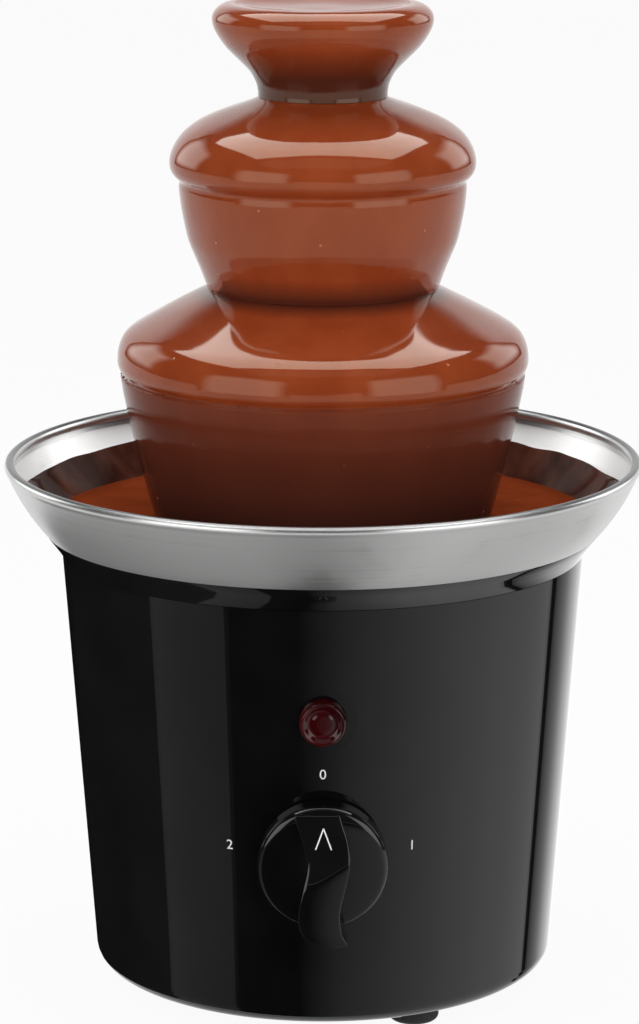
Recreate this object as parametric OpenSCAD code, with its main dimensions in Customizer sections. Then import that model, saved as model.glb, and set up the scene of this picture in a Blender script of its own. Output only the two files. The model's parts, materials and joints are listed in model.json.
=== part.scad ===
// Chocolate fountain: heated bowl on a round base, with an auger tower of two domes and a crown.
// Millimetres, +Z up, front towards -Y. The origin is on the axis, on the table.

/* [Base] */
// Height of the rubber feet below the housing
foot_h = 6; // [4:0.5:10]
// Diameter of a rubber foot
foot_d = 16.5; // [12:0.5:20]
// Distance from a foot's centre to the housing's edge
foot_inset = 16.8; // [14:0.2:24]
// Thickness of the base plate
base_t = 3; // [2:0.5:5]
// Height of the screw bosses above the base plate
boss_h = 24; // [15:1:30]
// Radius of a screw boss
boss_r = 4.5; // [4:0.5:6]
// Height of the mains lead's gland above the housing's bottom
gland_h = 20; // [14:1:30]
// Radius of the bore for the mains lead
gland_bore_r = 3.6; // [2.5:0.1:4.5]

/* [Housing] */
// Outer radius of the housing at its bottom
housing_base_r = 76.2; // [70:0.2:84]
// Outer radius of the housing at its top
housing_top_r = 86.4; // [82:0.2:92]
// Height of the housing
housing_h = 140.5; // [130:0.5:160]
// Wall of the housing
housing_wall = 2.5; // [2:0.1:3.5]
// Rounding of the housing's bottom edge
housing_edge_r = 6; // [4:0.5:9]
// Height of the trim ring under the bowl
collar_h = 4.2; // [3:0.2:7]
// Outward flare of the trim ring
collar_flare = 2; // [0.5:0.1:3]
// Thickness of the gasket under the bowl
gasket_t = 1; // [0.6:0.1:2]

/* [Bowl] */
// Outer radius of the rolled rim
rim_r = 105; // [100:0.5:115]
// Radius of the rolled bead at the rim
bead_r = 1.7; // [1.2:0.1:2.5]
// Height of the bead's centre above the bowl's ledge
flare_h = 24; // [18:0.5:32]
// How far the bowl's wall stands out past the housing at its foot
flare_overhang = 2.8; // [2:0.1:5]
// How far the bowl's wall bulges from a straight cone
flare_bulge = 1.4; // [0.5:0.1:3]
// Sheet thickness of the bowl
bowl_t = 1; // [0.8:0.1:1.5]
// Width of the ledge, from the housing's edge in to the well
ledge_w = 14.4; // [12.4:0.2:18.4]
// How much the well narrows to its floor
well_taper = 3; // [1:0.5:4]
// Depth of the well below the ledge
well_depth = 21; // [18:0.5:26]
// Radius of the well's lower corner
well_corner_r = 6; // [4:0.5:8]
// Height of the chocolate's surface above the ledge
pool_h = 3.6; // [2:0.2:8]

/* [Tower] */
// Radius of the tube's bore
tube_bore_r = 14.5; // [13:0.1:14.8]
// Wall of the tube at its top
tube_wall = 2; // [1.5:0.1:2.2]
// Width of each shoulder that carries a tier
tube_step = 1; // [0.8:0.1:1.2]
// Radius of the tube's foot flange
tube_foot_r = 30; // [27:0.5:34]
// Thickness of the foot flange
tube_foot_t = 3; // [2:0.2:4]
// Height of the inlet windows
inlet_h = 12; // [8:0.5:15]
// Width of the inlet windows
inlet_w = 14; // [8:0.5:16]
// Length of a tier's hub on the tube
hub_len = 11; // [8:0.5:14]
// Sheet thickness of tiers and crown
tier_t = 1.2; // [0.8:0.1:1.5]
// Thickness of the chocolate on the tiers
film_t = 1.8; // [1.4:0.1:2.2]
// Thickness of a falling curtain at its lower end
curtain_t = 2; // [1.5:0.1:3]

/* [Lower dome] */
// Outer radius of the lower dome
lower_r = 67.5; // [62:0.5:72]
// Height of its widest place above the bowl's floor
lower_h = 79.1; // [72:0.5:84]
// Rounding of its shoulder
lower_shoulder_r = 15; // [11:0.5:18]
// Slope of its upper side in degrees
lower_slope = 25.5; // [20:0.5:30]
// Turn of its lip below the widest place in degrees
lower_lip_turn = 40; // [30:1:55]
// How much its curtain draws in on the way down
lower_draw = 10.7; // [6:0.1:14]
// How far its curtain bulges
lower_bulge = 1.3; // [0.5:0.1:2]

/* [Upper dome] */
// Outer radius of the upper dome
upper_r = 50; // [47:0.5:53]
// Height of its widest place above the bowl's floor
upper_h = 144.4; // [138:0.5:148]
// Rounding of its shoulder
upper_shoulder_r = 12.8; // [10:0.2:15]
// Slope of its upper side in degrees
upper_slope = 23; // [18:0.5:27]
// Turn of its lip below the widest place in degrees
upper_lip_turn = 60; // [45:1:70]
// How much its curtain draws in on the way down
upper_draw = 7.8; // [5:0.1:9]
// How far its curtain bulges
upper_bulge = 1; // [0.4:0.1:1.6]
// Rounding of both lips below the widest place
lip_r = 6; // [5:0.2:7]

/* [Crown] */
// Outer radius of the crown
crown_r = 35.9; // [33:0.1:40]
// Height of its widest place above the bowl's floor
crown_h = 190.7; // [188:0.5:198]
// Radius of the chocolate at the crown's neck
neck_r = 21.4; // [21:0.1:22.5]
// Rounding between neck and cup
neck_fillet_r = 8; // [6:0.5:10]
// Rounding of the cup's side
cup_r = 11; // [9:0.5:13]
// Rounding of the chocolate over the cup's edge
edge_roll_r = 4.7; // [4:0.1:6]
// Depth of the hollow in the crown's top
top_hollow = 1.5; // [0.5:0.1:3]

/* [Control] */
// Height of the knob's axis above the housing's bottom
knob_h = 57.8; // [50:0.5:66]
// Diameter of the knob's disc
knob_d = 41.4; // [36:0.2:48]
// Height of the knob's disc
knob_disc_h = 9; // [8:0.5:12]
// Gap between the knob and the housing
knob_gap = 1.2; // [0.8:0.1:2]
// Height of the grip above the disc
grip_h = 8; // [5:0.5:11]
// Half of the grip's width
grip_half_w = 6.6; // [5:0.1:8]
// Sideways wave of the grip
grip_wave = 1.8; // [0.5:0.1:2.5]
// Length of one full wave of the grip
grip_pitch = 34; // [28:1:42]
// Reach of the grip's tail past the disc
grip_tail = 4; // [2:0.2:6]
// Radius of the switch shaft
switch_shaft_r = 3; // [2.5:0.1:3.2]
// Side of the switch's square body
switch_w = 28; // [24:0.5:32]
// Depth of the switch's body
switch_depth = 18; // [15:0.5:22]
// Height of the lamp's axis above the housing's bottom
lamp_h = 104.2; // [100:0.5:108]
// Diameter of the lamp's lens
lamp_d = 15.2; // [13:0.2:17]
// How far the lens stands out
lamp_out = 4.6; // [3.5:0.1:6]

/* [Heater] */
// Radius of the heat spreader
spreader_r = 50; // [47:0.5:52]
// Thickness of the heat spreader
spreader_t = 3; // [2:0.2:4]
// Radius of the ring that the heating element follows
element_ring_r = 40; // [38:0.5:42]
// Diameter of the heating element
element_d = 6.4; // [5:0.2:7]
// Diameter of the thermostat
thermostat_d = 14; // [11:0.5:15]
// Height of the thermostat's body
thermostat_h = 9; // [7:0.5:10]

/* [Drive] */
// Distance from the bowl's ledge down to the clamp plate
clamp_drop = 45.4; // [43:0.2:50]
// Thickness of the clamp plate
clamp_t = 2.5; // [2:0.1:3.5]
// Radius of the clamp plate's disc
clamp_r = 50; // [48:0.5:52]
// Radius of the circle of studs under the bowl
stud_circle_r = 57; // [55:0.5:58]
// Radius of a stud
stud_r = 2; // [1.5:0.1:2.5]
// Inside height of the gearcase
gearcase_h = 17; // [16:0.5:20]
// Wall of the gearcase
gearcase_wall = 2.5; // [2:0.1:3]
// Thickness of the gearcase's floor and cover
gearcase_t = 3; // [2.6:0.2:4]
// Teeth of both pinions
pinion_teeth = 12; // [12:1:14]
// Teeth of both wheels
wheel_teeth = 36; // [34:1:38]
// Module of the motor's stage
motor_module = 0.8; // [0.7:0.05:0.9]
// Module of the output stage
output_module = 1; // [0.9:0.05:1.05]
// Radius of the drive shaft
shaft_r = 4; // [3.5:0.1:4.5]
// Radius of the motor's can
motor_r = 18.5; // [17:0.5:20]
// Length of the motor
motor_len = 40; // [34:1:46]
// Radius of the motor's shaft
motor_shaft_r = 2; // [1.5:0.1:2.4]
// Pitch of the auger's flight
auger_pitch = 28; // [22:1:34]
// Radius of the auger's core
auger_core_r = 6; // [5:0.2:8]
// Thickness of the auger's flight along the axis
auger_flight_t = 2; // [1.5:0.1:3]
// Width across the flats of the drive coupling
coupling_af = 11; // [10:0.2:12]

/* [Clearances] */
// Radial clearance of a running shaft
run_gap = 0.05; // [0.03:0.01:0.09]
// Clearance of fixed pieces that slip into each other
slip_gap = 0.1; // [0.05:0.01:0.2]
// Clearance of pieces that lift off by hand
lift_gap = 0.3; // [0.3:0.05:0.5]
// Clearance between the auger and the tube
auger_gap = 0.5; // [0.4:0.1:0.8]
// Extra tooth space at each mesh
gear_backlash = 0.2; // [0.15:0.01:0.3]

/* [Hidden] */
$fn = 96;
arc_steps = 8;

// Heights, from the table up
z_base = foot_h;
z_base_in = z_base + base_t;
z_housing_top = z_base + housing_h;
z_collar_top = z_housing_top + collar_h;
z_ledge = z_collar_top + gasket_t;
z_rim = z_ledge + flare_h;
z_under = z_ledge - well_depth;
z_floor = z_under + bowl_t;
z_pool = z_ledge + pool_h;
z_lower = z_floor + lower_h;
z_upper = z_floor + upper_h;
z_crown = z_floor + crown_h;
z_spreader = z_under - spreader_t;
z_clamp_top = z_ledge - clamp_drop;
z_clamp = z_clamp_top - clamp_t;
z_case_in_top = z_clamp - gearcase_t;
z_case_in = z_case_in_top - gearcase_h;
z_case = z_case_in - gearcase_t;
z_motor = z_case - motor_len;

// Housing
taper = (housing_top_r - housing_base_r) / housing_h;
lean = atan(taper);
flange_t = 3;
flange_gap = 4;
well_r = housing_top_r - ledge_w;
flange_in_r = well_r + flange_gap;
edge_centre_r = housing_base_r + housing_edge_r * taper - housing_edge_r / cos(lean);
base_lip_w = 1.5;
base_open_r = edge_centre_r - base_lip_w;
base_plate_r = base_open_r - lift_gap;
boss_edge = 1.5;
boss_circle_r = base_open_r - boss_r - boss_edge;
foot_circle_r = housing_base_r - foot_inset;
web_t = 3;
pad_t = 2.5;
pad_depth = housing_wall + pad_t;
rib_in_gap = 3;
rib_in_r = well_r + rib_in_gap;
rib_t = 4;
thirds = [0, 120, 240];
foot_turn = 60;
arm_turn = 90;

// Feet, screws and nuts
foot_round = 2;
foot_peg_r = 3;
screw_r = 1.6;
screw_head_r = 3.2;
screw_head_h = 2;
screw_len = 14;
screw_hole_over = 1;
slot_share = 1.3;
nut_w = 1.7;
nut_h = 3.2;
stud_tail = 2;

// Gland and terminal block
gland_wall = 2.4;
gland_r = gland_bore_r + gland_wall;
gland_flange_w = 2.4;
gland_flange_t = 2.5;
gland_snap_w = 1;
gland_snap_t = 2;
terminal_w = 30;
terminal_d = 14;
terminal_h = 15;
terminal_y = 38;
terminal_ways = 3;

// Bowl hub
hub_wall = 4;
hub_r = shaft_r + hub_wall;
hub_flange_w = 3;
hub_flange_r = hub_r + hub_flange_w;
hub_flange_t = 2.5;
hub_below = 18;
hub_nut_w = 3;
hub_nut_af = 2 * (hub_r + hub_nut_w);
hub_nut_h = 6;
seal_w = 3.5;
seal_r = shaft_r + seal_w;
seal_h = 2;
spreader_bore_gap = 3;
spreader_bore_r = hub_nut_af / 2 / cos(30) + spreader_bore_gap;
locate_r = 2;
locate_h = 5;
locate_edge = 4;
locate_circle_r = tube_foot_r - locate_edge;

// Bowl wall: a bulged line from the ledge to the rolled bead
bead_centre = [rim_r - bead_r, z_rim];
flare_foot = [housing_top_r + flare_overhang, z_ledge];
bead_join_angle = -50;
flare_top = bead_centre + bead_r * [cos(bead_join_angle), sin(bead_join_angle)];
flare_dir = (flare_top - flare_foot) / norm(flare_top - flare_foot);
flare_in = bowl_t * [-flare_dir[1], flare_dir[0]];
well_floor_r = well_r - well_taper;

// Collar and gasket
collar_in_r = flange_in_r;
collar_hollow = 0.3;
gasket_inset = 1.2;
gasket_out_r = housing_top_r - gasket_inset;

// Heating
element_flat = 0.6;
element_z = z_spreader - element_d / 2 + element_flat;
element_sweep = 300;
element_tail = 10;
element_tail_step = 0.6;
element_tail_turn = 6;
element_tail_z = element_z - element_tail;
thermostat_circle_r = (spreader_bore_r + element_ring_r - element_d / 2) / 2;
thermostat_pin = [0.8, 5, 6];
thermostat_pin_out = 4;
fuse_r = 2;
fuse_len = 11;
fuse_strap_t = 0.8;
fuse_strap_w = 6;
fuse_turn = 200;

// Gears
pressure = 25;
addendum = 0.9;
dedendum = 1.2;
flank_steps = 3;
mesh_slack = 0.1;
motor_pitch_sum = motor_module * (pinion_teeth + wheel_teeth) / 2;
output_pitch_sum = output_module * (pinion_teeth + wheel_teeth) / 2;
idler_at = [output_pitch_sum + mesh_slack, 0];
motor_dir = 130;
motor_at = idler_at + (motor_pitch_sum + mesh_slack) * [cos(motor_dir), sin(motor_dir)];
wheel_face = 4;
output_face = 6;
gear_side_gap = 2.5;
z_wheel = z_case_in + gear_side_gap;
z_output = z_wheel + wheel_face + gear_side_gap;
pinion_over = 0.5;
idler_hub_r = output_module * (pinion_teeth / 2 - dedendum);
idler_pin_r = 2;
idler_pin_seat = 1.5;
idler_end_gap = 0.3;

// Gearcase, round and just clear of both wheels
output_tip_r = output_module * (wheel_teeth / 2 + addendum);
wheel_tip_r = motor_module * (wheel_teeth / 2 + addendum);
case_gap = 1.5;
case_at = [(idler_at[0] + wheel_tip_r - output_tip_r) / 2, 0];
case_in_r = (idler_at[0] + wheel_tip_r + output_tip_r) / 2 + case_gap;
case_out_r = case_in_r + gearcase_wall;
ear_r = 4.5;
ear_out = 2.5;
ear_turn = 60;
case_screw_r = 1.5;
bush_wall = 2;
bush_flange_w = 1.5;
bush_flange_t = 1;
output_hub_wall = 4;
output_hub_r = shaft_r + output_hub_wall;

// Motor
can_wall = 1.2;
can_top_t = 2;
can_in_r = motor_r - can_wall;
cap_t = 2;
cap_spigot = 3;
stator_end_gap = 7;
rotor_gap = 0.6;
stator_wall = 7;
stator_in_r = can_in_r - slip_gap - stator_wall;
rotor_r = stator_in_r - rotor_gap;
motor_screw_r = 1.25;
motor_screw_head_r = 2.3;
motor_screw_head_h = 1.5;
motor_screw_inset = 6;
motor_screw_circle_r = motor_r - motor_screw_inset;
motor_screw_turn = 100;
motor_hole_gap = 1.2;
motor_hole_r = motor_shaft_r + motor_hole_gap;
shaft_over_pinion = 0.6;

// Drive above the bowl's floor
coupling_gap = 0.8;
z_seal_top = z_floor + hub_flange_t + seal_h;
z_coupling = z_seal_top + coupling_gap;
coupling_h = 12;
auger_r = tube_bore_r - auger_gap;
auger_boss_wall = 2.5;
auger_boss_r = coupling_af / 2 / cos(30) + auger_boss_wall;
auger_boss_over = 3;
auger_boss_h = coupling_h + auger_boss_over;
auger_step_deg = 20;
auger_flight_foot = 1;
auger_flight_root = 1;

// Tube and tiers
tube_top_r = tube_bore_r + tube_wall;
tube_mid_r = tube_top_r + tube_step;
tube_low_r = tube_mid_r + tube_step;
tier_hub_wall = 1.6;
upper_bore_r = tube_top_r + lift_gap;
lower_bore_r = tube_mid_r + lift_gap;
curtain_gap = 0.35;
pool_in_gap = 1;

function cone_z(r, side_r, side_z, shoulder, slope, off) =
  side_z + (shoulder - off) * cos(slope)
  + (side_r - shoulder + (shoulder - off) * sin(slope) - r) * tan(slope);
function lower_z(r, off) = cone_z(r, lower_r, z_lower, lower_shoulder_r, lower_slope, off);
function upper_z(r, off) = cone_z(r, upper_r, z_upper, upper_shoulder_r, upper_slope, off);

z_lower_seat = lower_z(lower_bore_r, film_t) - hub_len;
z_upper_seat = upper_z(upper_bore_r, film_t) - hub_len;
neck_gap = 0.45;
z_neck = upper_z(neck_r, 0) + neck_gap;
crown_socket = 8;
z_tube_top = z_neck + crown_socket;
auger_end_gap = 1;
z_auger_top = z_tube_top - auger_end_gap;
crown_fill_gap = 0.4;

// Outline of a dome from its inner edge to its lip, set in by off from the chocolate's surface
function dome_pts(in_r, side_r, side_z, shoulder, slope, turn, off) = concat(
  [[in_r, cone_z(in_r, side_r, side_z, shoulder, slope, off)]],
  arc_pts([side_r - shoulder, side_z], shoulder - off, 90 - slope, 0),
  arc_pts([side_r - lip_r, side_z], lip_r - off, -turn / arc_steps, -turn)
);
function lower_pts(in_r, off) =
  dome_pts(in_r, lower_r, z_lower, lower_shoulder_r, lower_slope, lower_lip_turn, off);
function upper_pts(in_r, off) =
  dome_pts(in_r, upper_r, z_upper, upper_shoulder_r, upper_slope, upper_lip_turn, off);

// Outline of the crown's cup, from its neck to its widest place
cup_slope = 45;
cup_centre = [crown_r - cup_r, z_crown];
neck_centre = [
  neck_r + neck_fillet_r,
  z_crown - (neck_fillet_r + cup_r) / sin(cup_slope) + neck_r + neck_fillet_r - cup_centre[0]
];
function neck_arc(off, from) = arc_pts(neck_centre, neck_fillet_r + off, 180 - from, 180 - cup_slope);
function cup_arc(off) = arc_pts(cup_centre, cup_r - off, -cup_slope, 0);
function crown_pts(off) = concat([[neck_r - off, z_neck]], neck_arc(off, 0), cup_arc(off));

function arc_pts(centre, r, from, to) = [
  for (i = [0:arc_steps])
    let (a = from + (to - from) * i / arc_steps)
    centre + r * [cos(a), sin(a)]
];

// Points from a to b on an arc that stands off the straight line by bulge, to the right of a-b
function bow_pts(a, b, bulge) =
  let (
    chord = b - a,
    len = norm(chord),
    r = (len * len / 4 + bulge * bulge) / (2 * bulge),
    right = [chord[1], -chord[0]] / len,
    centre = (a + b) / 2 - (r - bulge) * right,
    half = asin(len / 2 / r),
    mid = atan2(right[1], right[0])
  )
  [for (i = [0:arc_steps]) centre + r * [cos(mid + half * (2 * i / arc_steps - 1)),
                                        sin(mid + half * (2 * i / arc_steps - 1))]];

function reversed(list) = [for (i = [len(list) - 1:-1:0]) list[i]];
function last(list) = list[len(list) - 1];
function wall_r(z) = housing_base_r + (z - z_base) * taper;

// Places children on the housing's wall at height z, with their +Z straight out of it
module at_wall(z, turn = 0)
  rotate([0, 0, turn])
    translate([0, -wall_r(z), z])
      rotate([90 + lean, 0, 0])
        children();

module at_thirds(r, turn = 0)
  for (a = thirds)
    rotate([0, 0, a + turn])
      translate([r, 0, 0])
        children();

module ring(r_in, r_out, h)
  difference() {
    cylinder(r = r_out, h = h);
    translate([0, 0, -h])
      cylinder(r = r_in, h = 3 * h);
  }

module hexagon(across, h)
  cylinder(r = across / 2 / cos(30), h = h, $fn = 6);

// Spur gear with its first tooth along +X, thinned at the pitch circle by half of the backlash
function inv_deg(a) = tan(a) * 180 / PI - a;
function flank_half(r, pitch_r, base_r, teeth) =
  90 / teeth - gear_backlash / 2 / pitch_r * 180 / PI / 2 + inv_deg(pressure) - inv_deg(acos(base_r / r));
function gear_tooth(teeth, mod) =
  let (
    pitch_r = mod * teeth / 2,
    base_r = pitch_r * cos(pressure),
    tip_r = pitch_r + addendum * mod,
    root_r = pitch_r - dedendum * mod,
    start_r = max(base_r, root_r),
    flank = [for (i = [0:flank_steps]) start_r + (tip_r - start_r) * i / flank_steps],
    root_half = flank_half(start_r, pitch_r, base_r, teeth)
  )
  concat(
    root_r < base_r ? [[root_r, -root_half]] : [],
    [for (r = flank) [r, -flank_half(r, pitch_r, base_r, teeth)]],
    [for (r = reversed(flank)) [r, flank_half(r, pitch_r, base_r, teeth)]],
    root_r < base_r ? [[root_r, root_half]] : []
  );
function gear_pts(teeth, mod) = [
  for (i = [0:teeth - 1], p = gear_tooth(teeth, mod))
    p[0] * [cos(p[1] + 360 * i / teeth), sin(p[1] + 360 * i / teeth)]
];

module spur(teeth, mod, h)
  linear_extrude(h)
    polygon(gear_pts(teeth, mod));

// Base

module rubber_feet()
  color("#151515")
    at_thirds(foot_circle_r, foot_turn)
      rotate_extrude()
        polygon(concat(
          [[0, 0]],
          arc_pts([foot_d / 2 - foot_round, foot_round], foot_round, -90, 0),
          [[foot_d / 2, z_base], [foot_peg_r, z_base], [foot_peg_r, z_base_in], [0, z_base_in]]
        ));

module base_plate()
  color("#1b1b1d")
    difference() {
      translate([0, 0, z_base])
        cylinder(r = base_plate_r, h = base_t);
      at_thirds(foot_circle_r, foot_turn)
        cylinder(r = foot_peg_r + slip_gap, h = 2 * z_base_in);
      at_thirds(boss_circle_r)
        base_screw_space(slip_gap);
      vents();
    }

module vents() {
  vent_count = 12;
  vent_w = 3;
  vent_in = 14;
  vent_out = foot_circle_r - foot_d;
  for (i = [0:vent_count - 1])
    rotate([0, 0, 360 * (i + 0.5) / vent_count])
      translate([vent_in, -vent_w / 2, z_base - base_t])
        cube([vent_out - vent_in, vent_w, 3 * base_t]);
}

module base_screw_space(gap) {
  translate([0, 0, z_base - gap])
    cylinder(r = screw_head_r + gap, h = screw_head_h + gap);
  translate([0, 0, z_base])
    cylinder(r = screw_r + gap, h = screw_len + gap);
}

module base_screws()
  color("#9a9a9a")
    at_thirds(boss_circle_r)
      difference() {
        base_screw_space(0);
        cross_slot(z_base, screw_head_r);
      }

module cross_slot(z, head_r) {
  slot_w = 1;
  slot_deep = 1.2;
  for (a = [0, 90])
    rotate([0, 0, a])
      translate([-head_r * slot_share / 2, -slot_w / 2, z - slot_deep])
        cube([head_r * slot_share, slot_w, 2 * slot_deep]);
}

// Housing outline: rounded bottom edge, then a straight taper to the top
housing_outside = concat(
  [[base_open_r, z_base]],
  arc_pts([edge_centre_r, z_base + housing_edge_r], housing_edge_r, -90, -lean),
  [[housing_top_r, z_housing_top]]
);
housing_inside = concat(
  [[base_open_r, z_base + housing_wall]],
  arc_pts([edge_centre_r, z_base + housing_edge_r], housing_edge_r - housing_wall, -90, -lean),
  [[wall_r(z_housing_top - flange_t) - housing_wall / cos(lean), z_housing_top - flange_t],
   [flange_in_r, z_housing_top - flange_t], [flange_in_r, z_housing_top]]
);

module housing()
  color("#0a0a0b")
    difference() {
      union() {
        rotate_extrude()
          polygon(concat(housing_outside, reversed(housing_inside)));
        intersection() {
          rotate_extrude()
            polygon(concat([[0, z_base]], housing_outside, [[0, z_housing_top]]));
          housing_inner_work();
        }
      }
      at_thirds(boss_circle_r)
        translate([0, 0, z_base])
          cylinder(r = screw_r + slip_gap, h = screw_len + screw_hole_over);
      at_wall(z_base + knob_h)
        control_hole(bushing_r, nut_seat_r);
      at_wall(z_base + lamp_h)
        control_hole(lamp_body_r, lamp_d / 2 + slip_gap);
      at_wall(z_base + gland_h, 180)
        translate([0, 0, -2 * pad_depth])
          cylinder(r = gland_r + slip_gap, h = 3 * pad_depth);
    }

// Screw bosses with their webs, the clamp plate's ribs, and flat pads behind the controls
module housing_inner_work() {
  at_thirds(boss_circle_r)
    translate([0, 0, z_base_in]) {
      cylinder(r = boss_r, h = boss_h);
      translate([0, -web_t / 2, 0])
        cube([housing_top_r - boss_circle_r, web_t, boss_h]);
    }
  at_thirds(rib_in_r, arm_turn)
    translate([0, -rib_t / 2, z_clamp_top])
      cube([housing_top_r - rib_in_r, rib_t, z_housing_top - z_clamp_top - flange_t / 2]);
  for (h = [knob_h, lamp_h])
    at_wall(z_base + h)
      translate([0, 0, -pad_depth])
        cylinder(r = pad_r, h = 2 * pad_depth);
}

module control_hole(r, seat_r) {
  translate([0, 0, -2 * pad_depth])
    cylinder(r = r + slip_gap, h = 3 * pad_depth);
  translate([0, 0, -seat_deep])
    cylinder(r = seat_r, h = pad_depth);
}

module collar_ring()
  color("#0c0c0d")
    rotate_extrude()
      polygon(concat(
        [[collar_in_r, z_housing_top]],
        reversed(bow_pts(
          [housing_top_r + collar_flare, z_collar_top], [housing_top_r, z_housing_top], collar_hollow
        )),
        [[collar_in_r, z_collar_top]]
      ));

module cord_gland()
  color("#141414")
    at_wall(z_base + gland_h, 180)
      difference() {
        snap_gap = 1.5;
        union() {
          cylinder(r = gland_r + gland_flange_w, h = gland_flange_t);
          translate([0, 0, -housing_wall - snap_gap - gland_snap_t])
            cylinder(r = gland_r, h = housing_wall + snap_gap + gland_snap_t);
          translate([0, 0, -housing_wall - snap_gap - gland_snap_t])
            cylinder(r = gland_r + gland_snap_w, h = gland_snap_t);
        }
        translate([0, 0, -2 * pad_depth])
          cylinder(r = gland_bore_r, h = 4 * pad_depth);
      }

module terminal_block()
  color("#e8e4d8")
    translate([-terminal_w / 2, terminal_y, z_base_in])
      difference() {
        way = terminal_w / terminal_ways;
        wire_r = 2;
        clamp_screw_r = 1.8;
        cube([terminal_w, terminal_d, terminal_h]);
        for (i = [0:terminal_ways - 1])
          translate([way * (i + 0.5), 0, 0]) {
            translate([0, terminal_d / 2, terminal_h / 2])
              rotate([90, 0, 0])
                cylinder(r = wire_r, h = 2 * terminal_d, center = true);
            translate([0, terminal_d / 2, terminal_h / 2])
              cylinder(r = clamp_screw_r, h = terminal_h);
          }
      }

// Bowl

// Bowl sheet from the hub's hole to the bead, lifted by t from its underside
function bowl_pts(t) = concat(
  [[hub_r + slip_gap, z_under + t]],
  arc_pts([well_floor_r - well_corner_r, z_under + well_corner_r], well_corner_r - t, -90, 0),
  [[well_r - t, z_ledge + t]]
);
bowl_outside = concat(bowl_pts(0), bow_pts(flare_foot, flare_top, flare_bulge));
bowl_inside = concat(bowl_pts(bowl_t), bow_pts(flare_foot + flare_in, flare_top + flare_in, flare_bulge));

module bowl()
  color("#b9b9b6") {
    rotate_extrude()
      polygon(concat(bowl_outside, reversed(bowl_inside)));
    rotate_extrude()
      translate(bead_centre)
        circle(r = bead_r, $fn = 48);
  }

module bowl_gasket()
  color("#1e1e1e")
    translate([0, 0, z_collar_top])
      ring(collar_in_r + gasket_inset, gasket_out_r, gasket_t);

module bowl_hub()
  color("#b58f45")
    difference() {
      union() {
        translate([0, 0, z_floor])
          cylinder(r = hub_flange_r, h = hub_flange_t);
        translate([0, 0, z_floor - hub_below])
          cylinder(r = hub_r, h = hub_below + hub_flange_t);
      }
      translate([0, 0, z_floor - 2 * hub_below])
        cylinder(r = shaft_r + run_gap, h = 4 * hub_below);
    }

module hub_nut()
  color("#b58f45")
    difference() {
      translate([0, 0, z_under - hub_nut_h])
        hexagon(hub_nut_af, hub_nut_h);
      translate([0, 0, z_under - 2 * hub_nut_h])
        cylinder(r = hub_r + slip_gap, h = 4 * hub_nut_h);
    }

module shaft_seal()
  color("#7a2a20")
    translate([0, 0, z_floor + hub_flange_t])
      ring(shaft_r + run_gap, seal_r, seal_h);

module locating_studs()
  color("#b9b9b6")
    at_thirds(locate_circle_r, foot_turn)
      translate([0, 0, z_floor])
        cylinder(r = locate_r, h = locate_h);

module bowl_studs()
  color("#9a9a9a")
    at_thirds(stud_circle_r, arm_turn)
      translate([0, 0, z_clamp - nut_h - stud_tail])
        cylinder(r = stud_r, h = z_under - z_clamp + nut_h + stud_tail);

module stud_nuts()
  color("#9a9a9a")
    at_thirds(stud_circle_r, arm_turn)
      difference() {
        translate([0, 0, z_clamp - nut_h])
          hexagon(2 * (stud_r + nut_w), nut_h);
        translate([0, 0, z_clamp - 2 * nut_h])
          cylinder(r = stud_r + slip_gap, h = 4 * nut_h);
      }

// Heating under the bowl

module heat_spreader()
  color("#c4c6c8")
    translate([0, 0, z_spreader])
      ring(spreader_bore_r, spreader_r, spreader_t);

module heating_element()
  color("#6f6f70")
    difference() {
      union() {
        translate([0, 0, element_z])
          rotate_extrude(angle = element_sweep)
            translate([element_ring_r, 0])
              circle(r = element_d / 2, $fn = 32);
        for (a = [element_tail_turn, element_sweep - element_tail_turn])
          rotate([0, 0, a])
            translate([element_ring_r, 0, element_tail_z])
              cylinder(r = element_d / 2 - element_tail_step, h = element_tail);
      }
      translate([0, 0, z_spreader])
        cylinder(r = 2 * element_ring_r, h = element_d);
    }

module thermostat()
  color("#3a3a3a")
    translate([0, thermostat_circle_r, 0]) {
      translate([0, 0, z_spreader - thermostat_h])
        cylinder(d = thermostat_d, h = thermostat_h);
      for (side = [-1, 1])
        translate([side * thermostat_pin_out - thermostat_pin[0] / 2, -thermostat_pin[1] / 2,
                   z_spreader - thermostat_h - thermostat_pin[2]])
          cube(thermostat_pin);
    }

module thermal_fuse()
  color("#d8d2c0")
    rotate([0, 0, fuse_turn])
      translate([thermostat_circle_r, 0, z_spreader]) {
        translate([0, 0, -fuse_strap_t - fuse_r])
          rotate([90, 0, 0])
            cylinder(r = fuse_r, h = fuse_len, center = true);
        translate([-fuse_r, -fuse_strap_w / 2, -fuse_strap_t - fuse_r])
          cube([2 * fuse_r, fuse_strap_w, fuse_strap_t + fuse_r]);
      }

// Drive below the bowl

module clamp_plate()
  color("#a8aaab")
    translate([0, 0, z_clamp])
      difference() {
        arm_w = 16;
        arm_root = 10;
        arm_lap = 1.8;
        shaft_hole_gap = 3;
        arm_end_r = rib_in_r + arm_lap;
        union() {
          cylinder(r = clamp_r, h = clamp_t);
          at_thirds(clamp_r - arm_root, arm_turn)
            translate([0, -arm_w / 2, 0])
              cube([arm_end_r - clamp_r + arm_root, arm_w, clamp_t]);
        }
        translate([0, 0, -clamp_t])
          cylinder(r = shaft_r + shaft_hole_gap, h = 3 * clamp_t);
        at_thirds(stud_circle_r, arm_turn)
          translate([0, 0, -clamp_t])
            cylinder(r = stud_r + slip_gap, h = 3 * clamp_t);
        at_ears()
          translate([0, 0, -clamp_t])
            cylinder(r = case_screw_r + slip_gap, h = 3 * clamp_t);
      }

module at_ears()
  translate(case_at)
    at_thirds(case_out_r + ear_out, ear_turn)
      children();

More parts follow.
